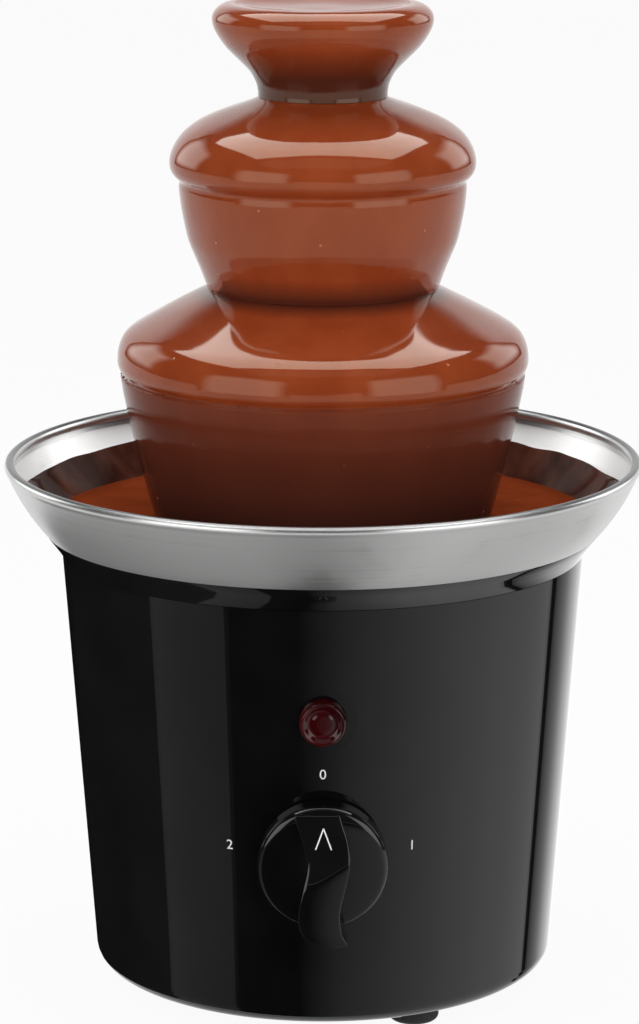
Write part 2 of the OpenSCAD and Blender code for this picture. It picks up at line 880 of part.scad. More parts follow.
// Outside of the gearcase with its three ears
module case_block(h) {
  translate(case_at)
    cylinder(r = case_out_r, h = h);
  at_ears()
    cylinder(r = ear_r, h = h);
}

module gearcase()
  color("#d9d9d4")
    difference() {
      translate([0, 0, z_case])
        case_block(z_case_in_top - z_case);
      translate(concat(case_at, z_case_in))
        cylinder(r = case_in_r, h = 2 * gearcase_h);
      at_ears()
        translate([0, 0, z_case - gearcase_h])
          cylinder(r = case_screw_r + slip_gap, h = 3 * gearcase_h);
      translate([0, 0, z_case - gearcase_t])
        cylinder(r = shaft_r + bush_wall + slip_gap, h = 3 * gearcase_t);
      translate(concat(idler_at, z_case_in - idler_pin_seat))
        cylinder(r = idler_pin_r + slip_gap, h = gearcase_t);
      translate(concat(motor_at, z_case - gearcase_t))
        cylinder(r = motor_hole_r, h = 3 * gearcase_t);
      at_motor_screws()
        motor_screw_space(slip_gap);
    }

module gearcase_cover()
  color("#cfcfca")
    difference() {
      translate([0, 0, z_case_in_top])
        case_block(gearcase_t);
      at_ears()
        translate([0, 0, z_case_in_top - gearcase_t])
          cylinder(r = case_screw_r + slip_gap, h = 3 * gearcase_t);
      translate([0, 0, z_case_in_top - gearcase_t])
        cylinder(r = shaft_r + bush_wall + slip_gap, h = 3 * gearcase_t);
      translate(concat(idler_at, z_case_in_top - gearcase_t))
        cylinder(r = idler_pin_r + slip_gap, h = gearcase_t + idler_pin_seat);
    }

module gearcase_screws()
  color("#8f8f8f")
    at_ears() {
      translate([0, 0, z_case - screw_head_h])
        cylinder(r = screw_head_r, h = screw_head_h);
      translate([0, 0, z_case])
        cylinder(r = case_screw_r, h = z_clamp_top - z_case);
    }

module at_motor_screws()
  translate(motor_at)
    for (side = [0, 180])
      rotate([0, 0, motor_screw_turn + side])
        translate([motor_screw_circle_r, 0, 0])
          children();

module motor_screw_space(gap) {
  translate([0, 0, z_case_in - motor_screw_head_h - gap])
    cylinder(r = motor_screw_head_r + gap, h = motor_screw_head_h + gap);
  translate([0, 0, z_case - can_top_t - gap])
    cylinder(r = motor_screw_r + gap, h = gearcase_t + can_top_t);
}

module motor_screws()
  color("#8f8f8f")
    at_motor_screws()
      difference() {
        motor_screw_space(0);
        cross_slot(z_case_in, motor_screw_head_r);
      }

module motor_can()
  color("#b0b2b4")
    difference() {
      translate(concat(motor_at, z_motor + cap_t))
        cylinder(r = motor_r, h = motor_len - cap_t);
      translate(concat(motor_at, z_motor))
        cylinder(r = can_in_r, h = motor_len - can_top_t);
      translate(concat(motor_at, z_motor))
        cylinder(r = motor_shaft_r + run_gap, h = 2 * motor_len);
      at_motor_screws()
        motor_screw_space(slip_gap);
    }

module motor_end_cap()
  color("#2b2b2d")
    difference() {
      translate(concat(motor_at, z_motor)) {
        cylinder(r = motor_r, h = cap_t);
        cylinder(r = can_in_r - slip_gap, h = cap_t + cap_spigot);
      }
      translate(concat(motor_at, z_motor + cap_t / 2))
        cylinder(r = motor_shaft_r + run_gap, h = motor_len);
    }

module stator()
  color("#4a4a4c")
    translate(concat(motor_at, z_motor + stator_end_gap))
      ring(stator_in_r, can_in_r - slip_gap, motor_len - 2 * stator_end_gap);

module rotor()
  color("#77787a")
    translate(concat(motor_at, 0)) {
      translate([0, 0, z_motor + cap_t])
        cylinder(r = motor_shaft_r, h = z_wheel + wheel_face + shaft_over_pinion - z_motor - cap_t);
      translate([0, 0, z_motor + stator_end_gap])
        cylinder(r = rotor_r, h = motor_len - 2 * stator_end_gap);
    }

module motor_pinion()
  color("#c9a24b")
    translate(concat(motor_at, z_wheel - pinion_over))
      difference() {
        rotate([0, 0, motor_dir + 180])
          spur(pinion_teeth, motor_module, wheel_face + pinion_over);
        translate([0, 0, -wheel_face])
          cylinder(r = motor_shaft_r + slip_gap, h = 4 * wheel_face);
      }

module idler_pin()
  color("#8f8f8f")
    translate(concat(idler_at, z_case_in - idler_pin_seat))
      cylinder(r = idler_pin_r, h = gearcase_h + 2 * idler_pin_seat);

// Wheel and pinion in one piece; the pinion's tooth faces the output wheel, the wheel's gap the motor
module idler_gear()
  color("#efeadb")
    translate(concat(idler_at, 0))
      difference() {
        union() {
          translate([0, 0, z_case_in + idler_end_gap])
            cylinder(r = idler_hub_r, h = gearcase_h - 2 * idler_end_gap);
          translate([0, 0, z_wheel])
            rotate([0, 0, motor_dir + 180 / wheel_teeth])
              spur(wheel_teeth, motor_module, wheel_face);
          translate([0, 0, z_wheel + wheel_face])
            rotate([0, 0, 180])
              spur(pinion_teeth, output_module, output_face + gear_side_gap + pinion_over);
        }
        translate([0, 0, z_case_in - gearcase_h])
          cylinder(r = idler_pin_r + run_gap, h = 3 * gearcase_h);
      }

module shaft_bushes()
  color("#b98a3c")
    difference() {
      union() {
        translate([0, 0, z_case])
          cylinder(r = shaft_r + bush_wall, h = gearcase_t);
        translate([0, 0, z_case_in])
          cylinder(r = shaft_r + bush_wall + bush_flange_w, h = bush_flange_t);
        translate([0, 0, z_case_in_top])
          cylinder(r = shaft_r + bush_wall, h = gearcase_t);
        translate([0, 0, z_case_in_top - bush_flange_t])
          cylinder(r = shaft_r + bush_wall + bush_flange_w, h = bush_flange_t);
      }
      translate([0, 0, z_case - gearcase_h])
        cylinder(r = shaft_r + run_gap, h = 4 * gearcase_h);
    }

module output_gear()
  color("#efeadb")
    difference() {
      hub_gap = bush_flange_t + idler_end_gap;
      union() {
        translate([0, 0, z_output])
          rotate([0, 0, 180 / wheel_teeth])
            spur(wheel_teeth, output_module, output_face);
        translate([0, 0, z_case_in + hub_gap])
          cylinder(r = output_hub_r, h = gearcase_h - 2 * hub_gap);
      }
      translate([0, 0, z_case_in - gearcase_h])
        cylinder(r = shaft_r + slip_gap, h = 3 * gearcase_h);
    }

module drive_shaft()
  color("#c2c4c6")
    translate([0, 0, z_case])
      cylinder(r = shaft_r, h = z_coupling + coupling_h - z_case);

module drive_coupling()
  color("#d8d8d2")
    difference() {
      translate([0, 0, z_coupling])
        hexagon(coupling_af, coupling_h);
      translate([0, 0, z_coupling - coupling_h])
        cylinder(r = shaft_r + slip_gap, h = 3 * coupling_h);
    }

// Screw that lifts the chocolate; its socket drops over the coupling
module auger()
  color("#e6e6e2")
    difference() {
      union() {
        translate([0, 0, z_coupling])
          cylinder(r = auger_boss_r, h = auger_boss_h);
        translate([0, 0, z_coupling])
          cylinder(r = auger_core_r, h = z_auger_top - z_coupling);
        auger_flight();
      }
      translate([0, 0, z_coupling - coupling_h])
        hexagon(coupling_af + 2 * slip_gap, 2 * coupling_h);
    }

module auger_flight() {
  flight_z = z_coupling + auger_flight_foot;
  flight_h = z_auger_top - flight_z;
  half_deg = 180 * auger_flight_t / auger_pitch;
  turn = 360 * flight_h / auger_pitch;
  translate([0, 0, flight_z])
    linear_extrude(flight_h, twist = -turn, slices = ceil(turn / auger_step_deg), $fn = 5)
      polygon([
        for (a = [-half_deg, 0, half_deg]) auger_r * [cos(a), sin(a)],
        for (a = [half_deg, -half_deg]) (auger_core_r - auger_flight_root) * [cos(a), sin(a)]
      ]);
}

// Tower

module tower_tube()
  color("#c9c9c6")
    difference() {
      rotate_extrude()
        polygon([
          [tube_bore_r, z_floor], [tube_foot_r, z_floor], [tube_foot_r, z_floor + tube_foot_t],
          [tube_low_r, z_floor + tube_foot_t], [tube_low_r, z_lower_seat], [tube_mid_r, z_lower_seat],
          [tube_mid_r, z_upper_seat], [tube_top_r, z_upper_seat], [tube_top_r, z_tube_top],
          [tube_bore_r, z_tube_top]
        ]);
      at_thirds(locate_circle_r, foot_turn)
        translate([0, 0, z_floor - locate_h])
          cylinder(r = locate_r + lift_gap, h = 3 * locate_h);
      at_thirds(0)
        translate([0, -inlet_w / 2, z_floor + tube_foot_t])
          cube([2 * tube_bore_r, inlet_w, inlet_h]);
    }

// A dome shell with its hub, from the outlines of its outer and inner face
module dome_shell(outside, inside, bore_r, seat_z)
  rotate_extrude()
    polygon(concat(
      outside,
      reversed(inside),
      [[bore_r + tier_hub_wall, seat_z], [bore_r, seat_z]]
    ));

module lower_tier()
  color("#bdbdba")
    dome_shell(
      lower_pts(lower_bore_r, film_t),
      lower_pts(lower_bore_r + tier_hub_wall, film_t + tier_t),
      lower_bore_r, z_lower_seat
    );

module upper_tier()
  color("#bdbdba")
    dome_shell(
      upper_pts(upper_bore_r, film_t),
      upper_pts(upper_bore_r + tier_hub_wall, film_t + tier_t),
      upper_bore_r, z_upper_seat
    );

crown_off = film_t + tier_t;
z_cup_floor = z_tube_top + tier_t;
cup_floor_angle = asin((z_cup_floor - neck_centre[1]) / (neck_fillet_r + crown_off));
crown_inside = concat(neck_arc(crown_off, cup_floor_angle), cup_arc(crown_off));

module crown()
  color("#bdbdba")
    rotate_extrude()
      polygon(concat(
        crown_pts(film_t),
        reversed(crown_inside),
        [[tube_bore_r, z_cup_floor], [tube_bore_r, z_tube_top], [upper_bore_r, z_tube_top],
         [upper_bore_r, z_neck]]
      ));

// Chocolate

module chocolate_pool()
  color("#6e3420")
    rotate_extrude()
      polygon(concat(
        [[tube_foot_r + pool_in_gap, z_pool], [tube_foot_r + pool_in_gap, z_floor]],
        [for (p = bowl_inside) if (p[0] > tube_foot_r + pool_in_gap && p[1] < z_pool) p],
        [pool_edge]
      ));

// Where the chocolate's level meets the bowl's wall
flare_in_pts = bow_pts(flare_foot + flare_in, flare_top + flare_in, flare_bulge);
pool_above = [for (p = flare_in_pts) if (p[1] >= z_pool) p][0];
pool_below = last([for (p = flare_in_pts) if (p[1] < z_pool) p]);
pool_edge = pool_below + (pool_above - pool_below) * (z_pool - pool_below[1]) / (pool_above[1] - pool_below[1]);

// Film on a dome and the curtain that falls from its lip to low_z at radius low_r
module coated_dome(outside, steel, low_r, low_z, low_in_z, bulge) {
  low_out = [low_r, low_z];
  low_in = [low_r - curtain_t, low_in_z];
  rotate_extrude()
    polygon(concat(
      outside,
      reversed(bow_pts(low_out, last(outside), bulge)),
      bow_pts(low_in, last(steel), bulge),
      reversed(steel)
    ));
}

module chocolate_lower()
  color("#8a4022")
    coated_dome(
      lower_pts(lower_bore_r + 2 * tier_hub_wall, 0),
      lower_pts(lower_bore_r + tier_hub_wall, film_t),
      lower_r - lower_draw - lip_r * (1 - cos(lower_lip_turn)), z_pool + curtain_gap, z_pool + curtain_gap,
      lower_bulge
    );

module chocolate_upper()
  color("#8a4022") {
    land_r = upper_r - upper_draw - lip_r * (1 - cos(upper_lip_turn));
    land_gap = curtain_gap / cos(lower_slope);
    coated_dome(
      upper_pts(neck_r, 0),
      upper_pts(upper_bore_r + tier_hub_wall, film_t),
      land_r, lower_z(land_r, 0) + land_gap, lower_z(land_r - curtain_t, 0) + land_gap,
      upper_bulge
    );
  }

module chocolate_crown()
  color("#8a4022")
    rotate_extrude()
      polygon(concat(
        [[0, z_cup_floor + crown_fill_gap]],
        [for (p = crown_inside) if (p[1] > z_cup_floor + crown_fill_gap) p],
        reversed(crown_pts(film_t)),
        crown_pts(0),
        arc_pts(cup_centre + [cup_r - edge_roll_r, 0], edge_roll_r, 90 / arc_steps, 90),
        [[0, cup_centre[1] + edge_roll_r - top_hollow]]
      ));

// Control: rotary switch, knob and lamp

pad_r = 11;
seat_deep = 0.6;
bushing_wall = 1.5;
bushing_r = switch_shaft_r + bushing_wall;
switch_nut_w = 2;
switch_nut_af = 2 * (bushing_r + switch_nut_w);
switch_nut_h = 2.4;
nut_seat_gap = 0.6;
nut_seat_r = switch_nut_af / 2 / cos(30) + nut_seat_gap;
shaft_in = 12;
knob_top_t = 2.5;
knob_hub_wall = 3;
knob_hub_r = switch_shaft_r + knob_hub_wall;
knob_skirt_t = 3.5;
knob_round = 4;
knob_r = knob_d / 2;
shaft_into_grip = 4;
shaft_out = knob_gap + knob_disc_h - knob_top_t + shaft_into_grip;
flat_depth = 0.8;

module switch_body()
  color("#2a2a2c")
    at_wall(z_base + knob_h)
      difference() {
        union() {
          translate([-switch_w / 2, -switch_w / 2, -pad_depth - switch_depth])
            cube([switch_w, switch_w, switch_depth]);
          translate([0, 0, -pad_depth])
            cylinder(r = bushing_r, h = pad_depth + switch_nut_h);
        }
        translate([0, 0, -pad_depth - shaft_in])
          cylinder(r = switch_shaft_r + run_gap, h = 4 * pad_depth + shaft_in);
      }

module switch_nut()
  color("#9a9a9a")
    at_wall(z_base + knob_h)
      translate([0, 0, -seat_deep])
        difference() {
          hexagon(switch_nut_af, switch_nut_h);
          translate([0, 0, -switch_nut_h])
            cylinder(r = bushing_r + slip_gap, h = 3 * switch_nut_h);
        }

// Shaft end with one flat, grown by gap for the knob's bore
module shaft_end(gap, from, to)
  intersection() {
    translate([0, 0, from])
      cylinder(r = switch_shaft_r + gap, h = to - from);
    translate([-2 * switch_shaft_r, -switch_shaft_r + flat_depth - gap, from])
      cube([4 * switch_shaft_r, 4 * switch_shaft_r, to - from]);
  }

module switch_shaft()
  color("#b4b4b4")
    at_wall(z_base + knob_h) {
      flat_from = knob_gap + switch_nut_h;
      translate([0, 0, lift_gap - pad_depth - shaft_in])
        cylinder(r = switch_shaft_r, h = pad_depth + shaft_in + flat_from - lift_gap);
      shaft_end(0, flat_from, shaft_out);
    }

// Wavy bar: half a width to each side of a cosine line, straight ends
module grip_outline() {
  grip_steps = 20;
  top_inset = 0.4;
  top = knob_r - top_inset;
  low = -knob_r - grip_tail;
  wave_at = 4;
  function mid(y) = grip_wave * cos(360 * (y - wave_at) / grip_pitch);
  function y_at(i) = low + (top - low) * i / grip_steps;
  polygon(concat(
    [for (i = [0:grip_steps]) [mid(y_at(i)) + grip_half_w, y_at(i)]],
    [for (i = [grip_steps:-1:0]) [mid(y_at(i)) - grip_half_w, y_at(i)]]
  ));
}

module knob()
  color("#0d0d0e")
    at_wall(z_base + knob_h)
      difference() {
        grip_low = 2;
        hub_foot = knob_gap + switch_nut_h + lift_gap;
        disc_top = knob_gap + knob_disc_h;
        union() {
          difference() {
            union() {
              rotate_extrude()
                polygon(concat(
                  [[0, knob_gap], [knob_r, knob_gap]],
                  arc_pts([knob_r - knob_round, disc_top - knob_round], knob_round, 0, 90),
                  [[0, disc_top]]
                ));
              translate([0, 0, knob_gap + grip_low])
                linear_extrude(knob_disc_h + grip_h - grip_low)
                  grip_outline();
            }
            translate([0, 0, -knob_disc_h])
              cylinder(r = knob_r - knob_skirt_t, h = disc_top - knob_top_t + knob_disc_h);
          }
          translate([0, 0, hub_foot])
            cylinder(r = knob_hub_r, h = disc_top - hub_foot);
        }
        shaft_end(slip_gap, 0, shaft_out + slip_gap);
      }

lamp_body_r = 5.5;
lamp_body_len = 20;
lamp_wall = 1.2;
lamp_nut_w = 2.5;
lamp_nut_af = 2 * (lamp_body_r + lamp_nut_w);
lamp_nut_h = 3;
bulb_r = 2.6;
lens_flange_t = 1.6;
lens_flange_w = 1;
lens_round = 2;
lens_wall = 1.2;

module lamp_body()
  color("#2a2a2c")
    at_wall(z_base + lamp_h)
      difference() {
        translate([0, 0, -lamp_body_len])
          cylinder(r = lamp_body_r, h = lamp_body_len - seat_deep);
        translate([0, 0, -lamp_body_len + lamp_wall])
          cylinder(r = lamp_body_r - lamp_wall, h = 2 * lamp_body_len);
      }

module lamp_nut()
  color("#e0ddd2")
    at_wall(z_base + lamp_h)
      translate([0, 0, -pad_depth - lamp_nut_h])
        difference() {
          hexagon(lamp_nut_af, lamp_nut_h);
          translate([0, 0, -lamp_nut_h])
            cylinder(r = lamp_body_r + slip_gap, h = 3 * lamp_nut_h);
        }

module lamp_bulb()
  color("#d98a5a")
    at_wall(z_base + lamp_h)
      translate([0, 0, -lamp_body_len + lamp_wall])
        rotate_extrude()
          polygon(concat(
            [[0, 0], [bulb_r, 0]],
            arc_pts([0, lamp_body_len - lamp_wall - seat_deep - bulb_r], bulb_r, 0, 90)
          ));

module lamp_lens()
  color("#5a1015")
    at_wall(z_base + lamp_h)
      translate([0, 0, -seat_deep])
        rotate_extrude() {
          top = lamp_out + seat_deep;
          dome_r = lamp_d / 2 - lens_flange_w;
          polygon(concat(
            [[dome_r - lens_wall, 0], [lamp_d / 2, 0], [lamp_d / 2, lens_flange_t]],
            [[dome_r, lens_flange_t]],
            arc_pts([dome_r - lens_round, top - lens_round], lens_round, 0, 90),
            [[0, top], [0, top - lens_wall], [dome_r - lens_wall, top - lens_wall]]
          ));
        }

rubber_feet();
base_plate();
base_screws();
housing();
collar_ring();
cord_gland();
terminal_block();
bowl_gasket();
bowl();
bowl_hub();
hub_nut();
shaft_seal();
locating_studs();
bowl_studs();
stud_nuts();
heat_spreader();
heating_element();
thermostat();
thermal_fuse();
clamp_plate();
gearcase();
gearcase_cover();
gearcase_screws();
motor_can();
motor_end_cap();
motor_screws();
stator();
rotor();
motor_pinion();
idler_pin();
idler_gear();
shaft_bushes();
output_gear();
drive_shaft();
drive_coupling();
auger();
tower_tube();
lower_tier();
upper_tier();
crown();
chocolate_pool();
chocolate_lower();
chocolate_upper();
chocolate_crown();
switch_body();
switch_nut();
switch_shaft();
knob();
lamp_body();
lamp_nut();
lamp_bulb();
lamp_lens();
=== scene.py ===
"""The looks of a chocolate fountain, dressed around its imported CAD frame."""

import json
import math
import random

import bmesh
import bpy
from mathutils import Matrix, Vector, noise
from mathutils.geometry import interpolate_bezier


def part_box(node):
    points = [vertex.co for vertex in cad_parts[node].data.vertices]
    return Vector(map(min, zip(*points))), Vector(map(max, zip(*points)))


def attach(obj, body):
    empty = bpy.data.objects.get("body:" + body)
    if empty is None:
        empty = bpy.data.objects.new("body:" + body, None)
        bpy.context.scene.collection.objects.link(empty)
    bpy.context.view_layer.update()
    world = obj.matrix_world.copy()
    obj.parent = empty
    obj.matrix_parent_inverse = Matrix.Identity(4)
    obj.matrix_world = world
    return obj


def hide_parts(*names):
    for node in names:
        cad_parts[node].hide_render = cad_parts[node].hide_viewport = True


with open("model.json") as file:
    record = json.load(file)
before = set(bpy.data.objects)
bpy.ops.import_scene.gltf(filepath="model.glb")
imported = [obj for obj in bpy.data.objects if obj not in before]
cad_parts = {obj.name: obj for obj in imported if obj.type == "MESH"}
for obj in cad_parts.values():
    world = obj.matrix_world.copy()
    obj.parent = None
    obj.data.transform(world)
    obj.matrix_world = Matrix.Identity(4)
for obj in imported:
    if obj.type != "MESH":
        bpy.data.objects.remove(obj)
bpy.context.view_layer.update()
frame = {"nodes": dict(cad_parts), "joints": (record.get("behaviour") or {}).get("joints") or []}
nodes = frame["nodes"]
scene = bpy.context.scene
scene.view_settings.view_transform = "Standard"


# Camera: a long lens in front of the fountain, a little higher than its crown and tilted down
# until the crown and the feet both fill the upright frame.
FRAME_H_PX = 1024
FOCAL_PX = 4019
AXIS_OFF_PX = 3.4
CAMERA_PLACE = (0, -1.299, 0.458)
CAMERA_DOWN = math.radians(12.99)
SENSOR_MM = 36

lens = bpy.data.cameras.new("camera")
lens.sensor_width = SENSOR_MM
lens.lens = SENSOR_MM * FOCAL_PX / FRAME_H_PX
lens.shift_x = -AXIS_OFF_PX / FRAME_H_PX
camera = bpy.data.objects.new("camera", lens)
camera.location = CAMERA_PLACE
camera.rotation_euler = (math.pi / 2 - CAMERA_DOWN, 0, 0)
scene.collection.objects.link(camera)
scene.camera = camera


# Surround: a white room behind the fountain and a dim one in front of it and overhead, so that
# glossy edges turn pale against the background and the fronts stay deep in colour.
AMBIENT = (0.28, 0.28, 0.28, 1)
WHITE = (1, 1, 1, 1)
DIM_ROOM = (0.05, 0.05, 0.05, 1)
BACK_FROM = 0.3
BACK_TO = 0.55
CEILING_FROM = 0.62
CEILING_TO = 0.4


def add_node(tree, kind, values=(), **settings):
    """A shader node of that kind, with its settings and the values of its named sockets."""
    made = tree.nodes.new(kind)
    for name, value in settings.items():
        setattr(made, name, value)
    for name, value in dict(values).items():
        made.inputs[name].default_value = value
    return made


def join(giver, output, taker, socket):
    """Links a node's output to a socket of another node in the same tree."""
    giver.id_data.links.new(giver.outputs[output], taker.inputs[socket])


def add_mix(tree, first, second):
    """A colour mix between two fixed colours; its Factor is still to be linked."""
    mix = add_node(tree, "ShaderNodeMix", data_type="RGBA")
    mix.inputs["A"].default_value = first
    mix.inputs["B"].default_value = second
    return mix


def add_ramp(tree, low, high, to_low=0.0, to_high=1.0):
    """A smooth step of a value from low to high."""
    values = {"From Min": low, "From Max": high, "To Min": to_low, "To Max": to_high}
    return add_node(tree, "ShaderNodeMapRange", values, interpolation_type="SMOOTHSTEP")


def add_seen(tree):
    """The light path, and 1 for rays that see a surface, 0 for rays that gather its light."""
    path = add_node(tree, "ShaderNodeLightPath")
    straight = add_node(tree, "ShaderNodeMath", operation="MAXIMUM")
    seen = add_node(tree, "ShaderNodeMath", operation="MAXIMUM")
    join(path, "Is Glossy Ray", straight, 0)
    join(path, "Is Transmission Ray", straight, 1)
    join(path, "Is Camera Ray", seen, 0)
    join(straight, 0, seen, 1)
    return path, seen


world = bpy.data.worlds.new("surround")
world.use_nodes = True
scene.world = world
tree = world.node_tree
tree.nodes.clear()
sky = add_node(tree, "ShaderNodeTexCoord")
split = add_node(tree, "ShaderNodeSeparateXYZ")
behind = add_ramp(tree, BACK_FROM, BACK_TO)
below = add_ramp(tree, CEILING_TO, CEILING_FROM, 1.0, 0.0)
lit_part = add_node(tree, "ShaderNodeMath", operation="MULTIPLY")
room = add_mix(tree, DIM_ROOM, WHITE)
for_camera = add_mix(tree, WHITE, WHITE)
for_light = add_mix(tree, AMBIENT, WHITE)
path, seen = add_seen(tree)
background = add_node(tree, "ShaderNodeBackground")
out = add_node(tree, "ShaderNodeOutputWorld")
join(sky, "Generated", split, 0)
join(split, "Y", behind, "Value")
join(split, "Z", below, "Value")
join(behind, 0, lit_part, 0)
join(below, 0, lit_part, 1)
join(lit_part, 0, room, "Factor")
join(room, "Result", for_camera, "A")
join(path, "Is Camera Ray", for_camera, "Factor")
join(for_camera, "Result", for_light, "B")
join(seen, 0, for_light, "Factor")
join(for_light, "Result", background, "Color")
join(background, 0, out, "Surface")


# Floor: a pale seamless sheet that the feet stand on. It is white to the eye and in reflections,
# and keeps a soft shadow under the fountain.
FLOOR_HALF = 4.0
FLOOR_WHITE = (0.86, 0.86, 0.86, 1)
FLOOR_GLOW = 0.94


def add_object(name, shape, smooth=True):
    """The bmesh as an object at the origin, with smooth shading where asked."""
    mesh = bpy.data.meshes.new(name)
    shape.to_mesh(mesh)
    shape.free()
    for face in mesh.polygons:
        face.use_smooth = smooth
    made = bpy.data.objects.new(name, mesh)
    scene.collection.objects.link(made)
    return made


def new_material(name):
    """An empty material with its node tree and output."""
    material = bpy.data.materials.new(name)
    material.use_nodes = True
    material.node_tree.nodes.clear()
    made = add_node(material.node_tree, "ShaderNodeOutputMaterial")
    return material, material.node_tree, made


floor_paint, tree, out = new_material("floor paper")
matt = add_node(tree, "ShaderNodeBsdfDiffuse", {"Color": FLOOR_WHITE})
glow = add_node(tree, "ShaderNodeEmission", {"Color": WHITE})
share = add_node(tree, "ShaderNodeMath", operation="MULTIPLY")
share.inputs[1].default_value = FLOOR_GLOW
blend = add_node(tree, "ShaderNodeMixShader")
seen = add_seen(tree)[1]
join(seen, 0, share, 0)
join(share, 0, blend, 0)
join(matt, 0, blend, 1)
join(glow, 0, blend, 2)
join(blend, 0, out, "Surface")
shape = bmesh.new()
bmesh.ops.create_grid(shape, x_segments=1, y_segments=1, size=FLOOR_HALF)
floor = add_object("floor", shape)
floor.data.materials.append(floor_paint)


# Lights: a wide softbox overhead, which gives each dome its crescent, a weak one in front of it, two
# low panels beside the camera, and two cards behind that turn the domes' edges pale. All of these
# show only in reflections; matt surfaces get plain lamps instead.
SOFTBOX_SIZE = (1.8, 1.25)
SOFTBOX_PLACE = (0, 0.235, 1.3)
SOFTBOX_GLEAM = 5.6
SOFTBOX_SOFT = 0.03
SOFTBOX_FILL = 1.35
FRONT_SIZE = (2.2, 0.8)
FRONT_PLACE = (0, -0.84, 1.3)
FRONT_GLEAM = 0.4
FRONT_SOFT = 0.12
PANEL_SIZE = (1.3, 1.1)
PANEL_PLACE = (0.95, -0.95, 0.4)
PANEL_GLEAM = 2.3
PANEL_SOFT = 0.2
PANEL_FILL = 1.7
PANEL_LAMP_Z = 0.75
RIM_SIZE = (0.95, 0.9)
RIM_PLACE = (0.98, 0.69, 0.62)
RIM_GLEAM = 2.4
RIM_SOFT = 0.25
RIM_AIM = (0, 0, 0.25)


def facing(place, aim):
    """The turn that faces a flat light at a point."""
    return (Vector(aim) - Vector(place)).to_track_quat("-Z", "Y")


def add_lamp(name, place, size, level, aim):
    """A flat lamp for matt surfaces."""
    light = bpy.data.lights.new(name, "AREA")
    light.shape = "RECTANGLE"
    light.size, light.size_y = size
    light.energy = math.pi * size[0] * size[1] * level
    made = bpy.data.objects.new(name, light)
    made.location = place
    made.rotation_euler = facing(place, aim).to_euler()
    made.visible_glossy = False
    made.visible_camera = False
    scene.collection.objects.link(made)


def add_gleam(name, place, size, level, aim, soft):
    """A glowing card with soft edges that only reflections show."""
    paint, tree, out = new_material(name)
    where = add_node(tree, "ShaderNodeUVMap")
    split = add_node(tree, "ShaderNodeSeparateXYZ")
    glow = add_node(tree, "ShaderNodeEmission", {"Color": WHITE})
    bright = []
    join(where, 0, split, 0)
    for axis in ("X", "Y"):
        from_middle = add_node(tree, "ShaderNodeMath", operation="SUBTRACT")
        from_middle.inputs[1].default_value = 0.5
        away = add_node(tree, "ShaderNodeMath", operation="ABSOLUTE")
        edge = add_ramp(tree, 0.5 - soft, 0.5, math.sqrt(level), 0.0)
        join(split, axis, from_middle, 0)
        join(from_middle, 0, away, 0)
        join(away, 0, edge, "Value")
        bright.append(edge.outputs[0])
    both = add_node(tree, "ShaderNodeMath", operation="MULTIPLY")
    tree.links.new(bright[0], both.inputs[0])
    tree.links.new(bright[1], both.inputs[1])
    join(both, 0, glow, "Strength")
    join(glow, 0, out, "Surface")
    shape = bmesh.new()
    shape.loops.layers.uv.new("card")
    bmesh.ops.create_grid(shape, x_segments=1, y_segments=1, size=0.5, calc_uvs=True)
    bmesh.ops.scale(shape, verts=shape.verts, vec=(size[0], size[1], 1))
    turn = facing(place, aim).to_matrix().to_4x4()
    bmesh.ops.transform(shape, verts=shape.verts, matrix=Matrix.Translation(place) @ turn)
    card = add_object(name, shape)
    card.data.materials.append(paint)
    card.visible_camera = False
    card.visible_diffuse = False
    card.visible_shadow = False
    card.visible_transmission = False


overhead_aim = Vector(SOFTBOX_PLACE) - Vector((0, 0, 1))
add_lamp("overhead lamp", SOFTBOX_PLACE, SOFTBOX_SIZE, SOFTBOX_FILL, overhead_aim)
add_gleam("overhead_gleam", SOFTBOX_PLACE, SOFTBOX_SIZE, SOFTBOX_GLEAM, overhead_aim, SOFTBOX_SOFT)
front_aim = Vector(FRONT_PLACE) - Vector((0, 0, 1))
add_gleam("front_gleam", FRONT_PLACE, FRONT_SIZE, FRONT_GLEAM, front_aim, FRONT_SOFT)
for side in (-1, 1):
    place = (side * PANEL_PLACE[0], PANEL_PLACE[1], PANEL_PLACE[2])
    panel_aim = (0, 0, PANEL_PLACE[2])
    add_gleam("side_gleam", place, PANEL_SIZE, PANEL_GLEAM, panel_aim, PANEL_SOFT)
    lamp_place = (place[0], place[1], PANEL_LAMP_Z)
    add_lamp("side lamp", lamp_place, PANEL_SIZE, PANEL_FILL, panel_aim)
    rim_place = (side * RIM_PLACE[0], RIM_PLACE[1], RIM_PLACE[2])
    add_gleam("rim_gleam", rim_place, RIM_SIZE, RIM_GLEAM, RIM_AIM, RIM_SOFT)


# Table tones: what the base and the bowl's underside mirror from the table round them. One sheet,
# spread like a fan, shows only in mirror-sharp reflections, and a ring only in blurred ones.
FAN_TONES = (
    (-88, 0.0), (-60, 0.03), (-41.8, 0.08), (-41, 0.35), (-22.6, 0.26), (-21.8, 0.02), (-6, 0.01),
    (0, 0.17), (5, 0.33), (13.6, 0.5), (22.4, 0.72), (31.8, 0.92), (42.2, 1.0), (55, 0.85),
    (60.2, 0.8), (60.6, 0.0), (62.4, 0.0), (62.8, 0.26), (68.5, 0.68), (72, 1.1), (76, 1.3), (88, 1.3),
)
RING_TONES = (
    (-180, 0.25), (-131, 0.2), (-68, 0.36), (-30, 0.4), (0, 0.3), (40, 0.68), (75, 0.62), (125, 0.75),
    (160, 1.2), (180, 1.2),
)
TONE_BRIGHT = 1.3
FAN_FOOT_R = 0.077
FAN_REACH = 3.5
FAN_FADE_FROM = 0.12
FAN_FADE_TO = 0.5
FAN_LIFT = 0.0006
RING_LIFT = 0.0012
RING_IN_R = 0.06
RING_OUT_R = 0.34
TONE_COLUMNS = 176


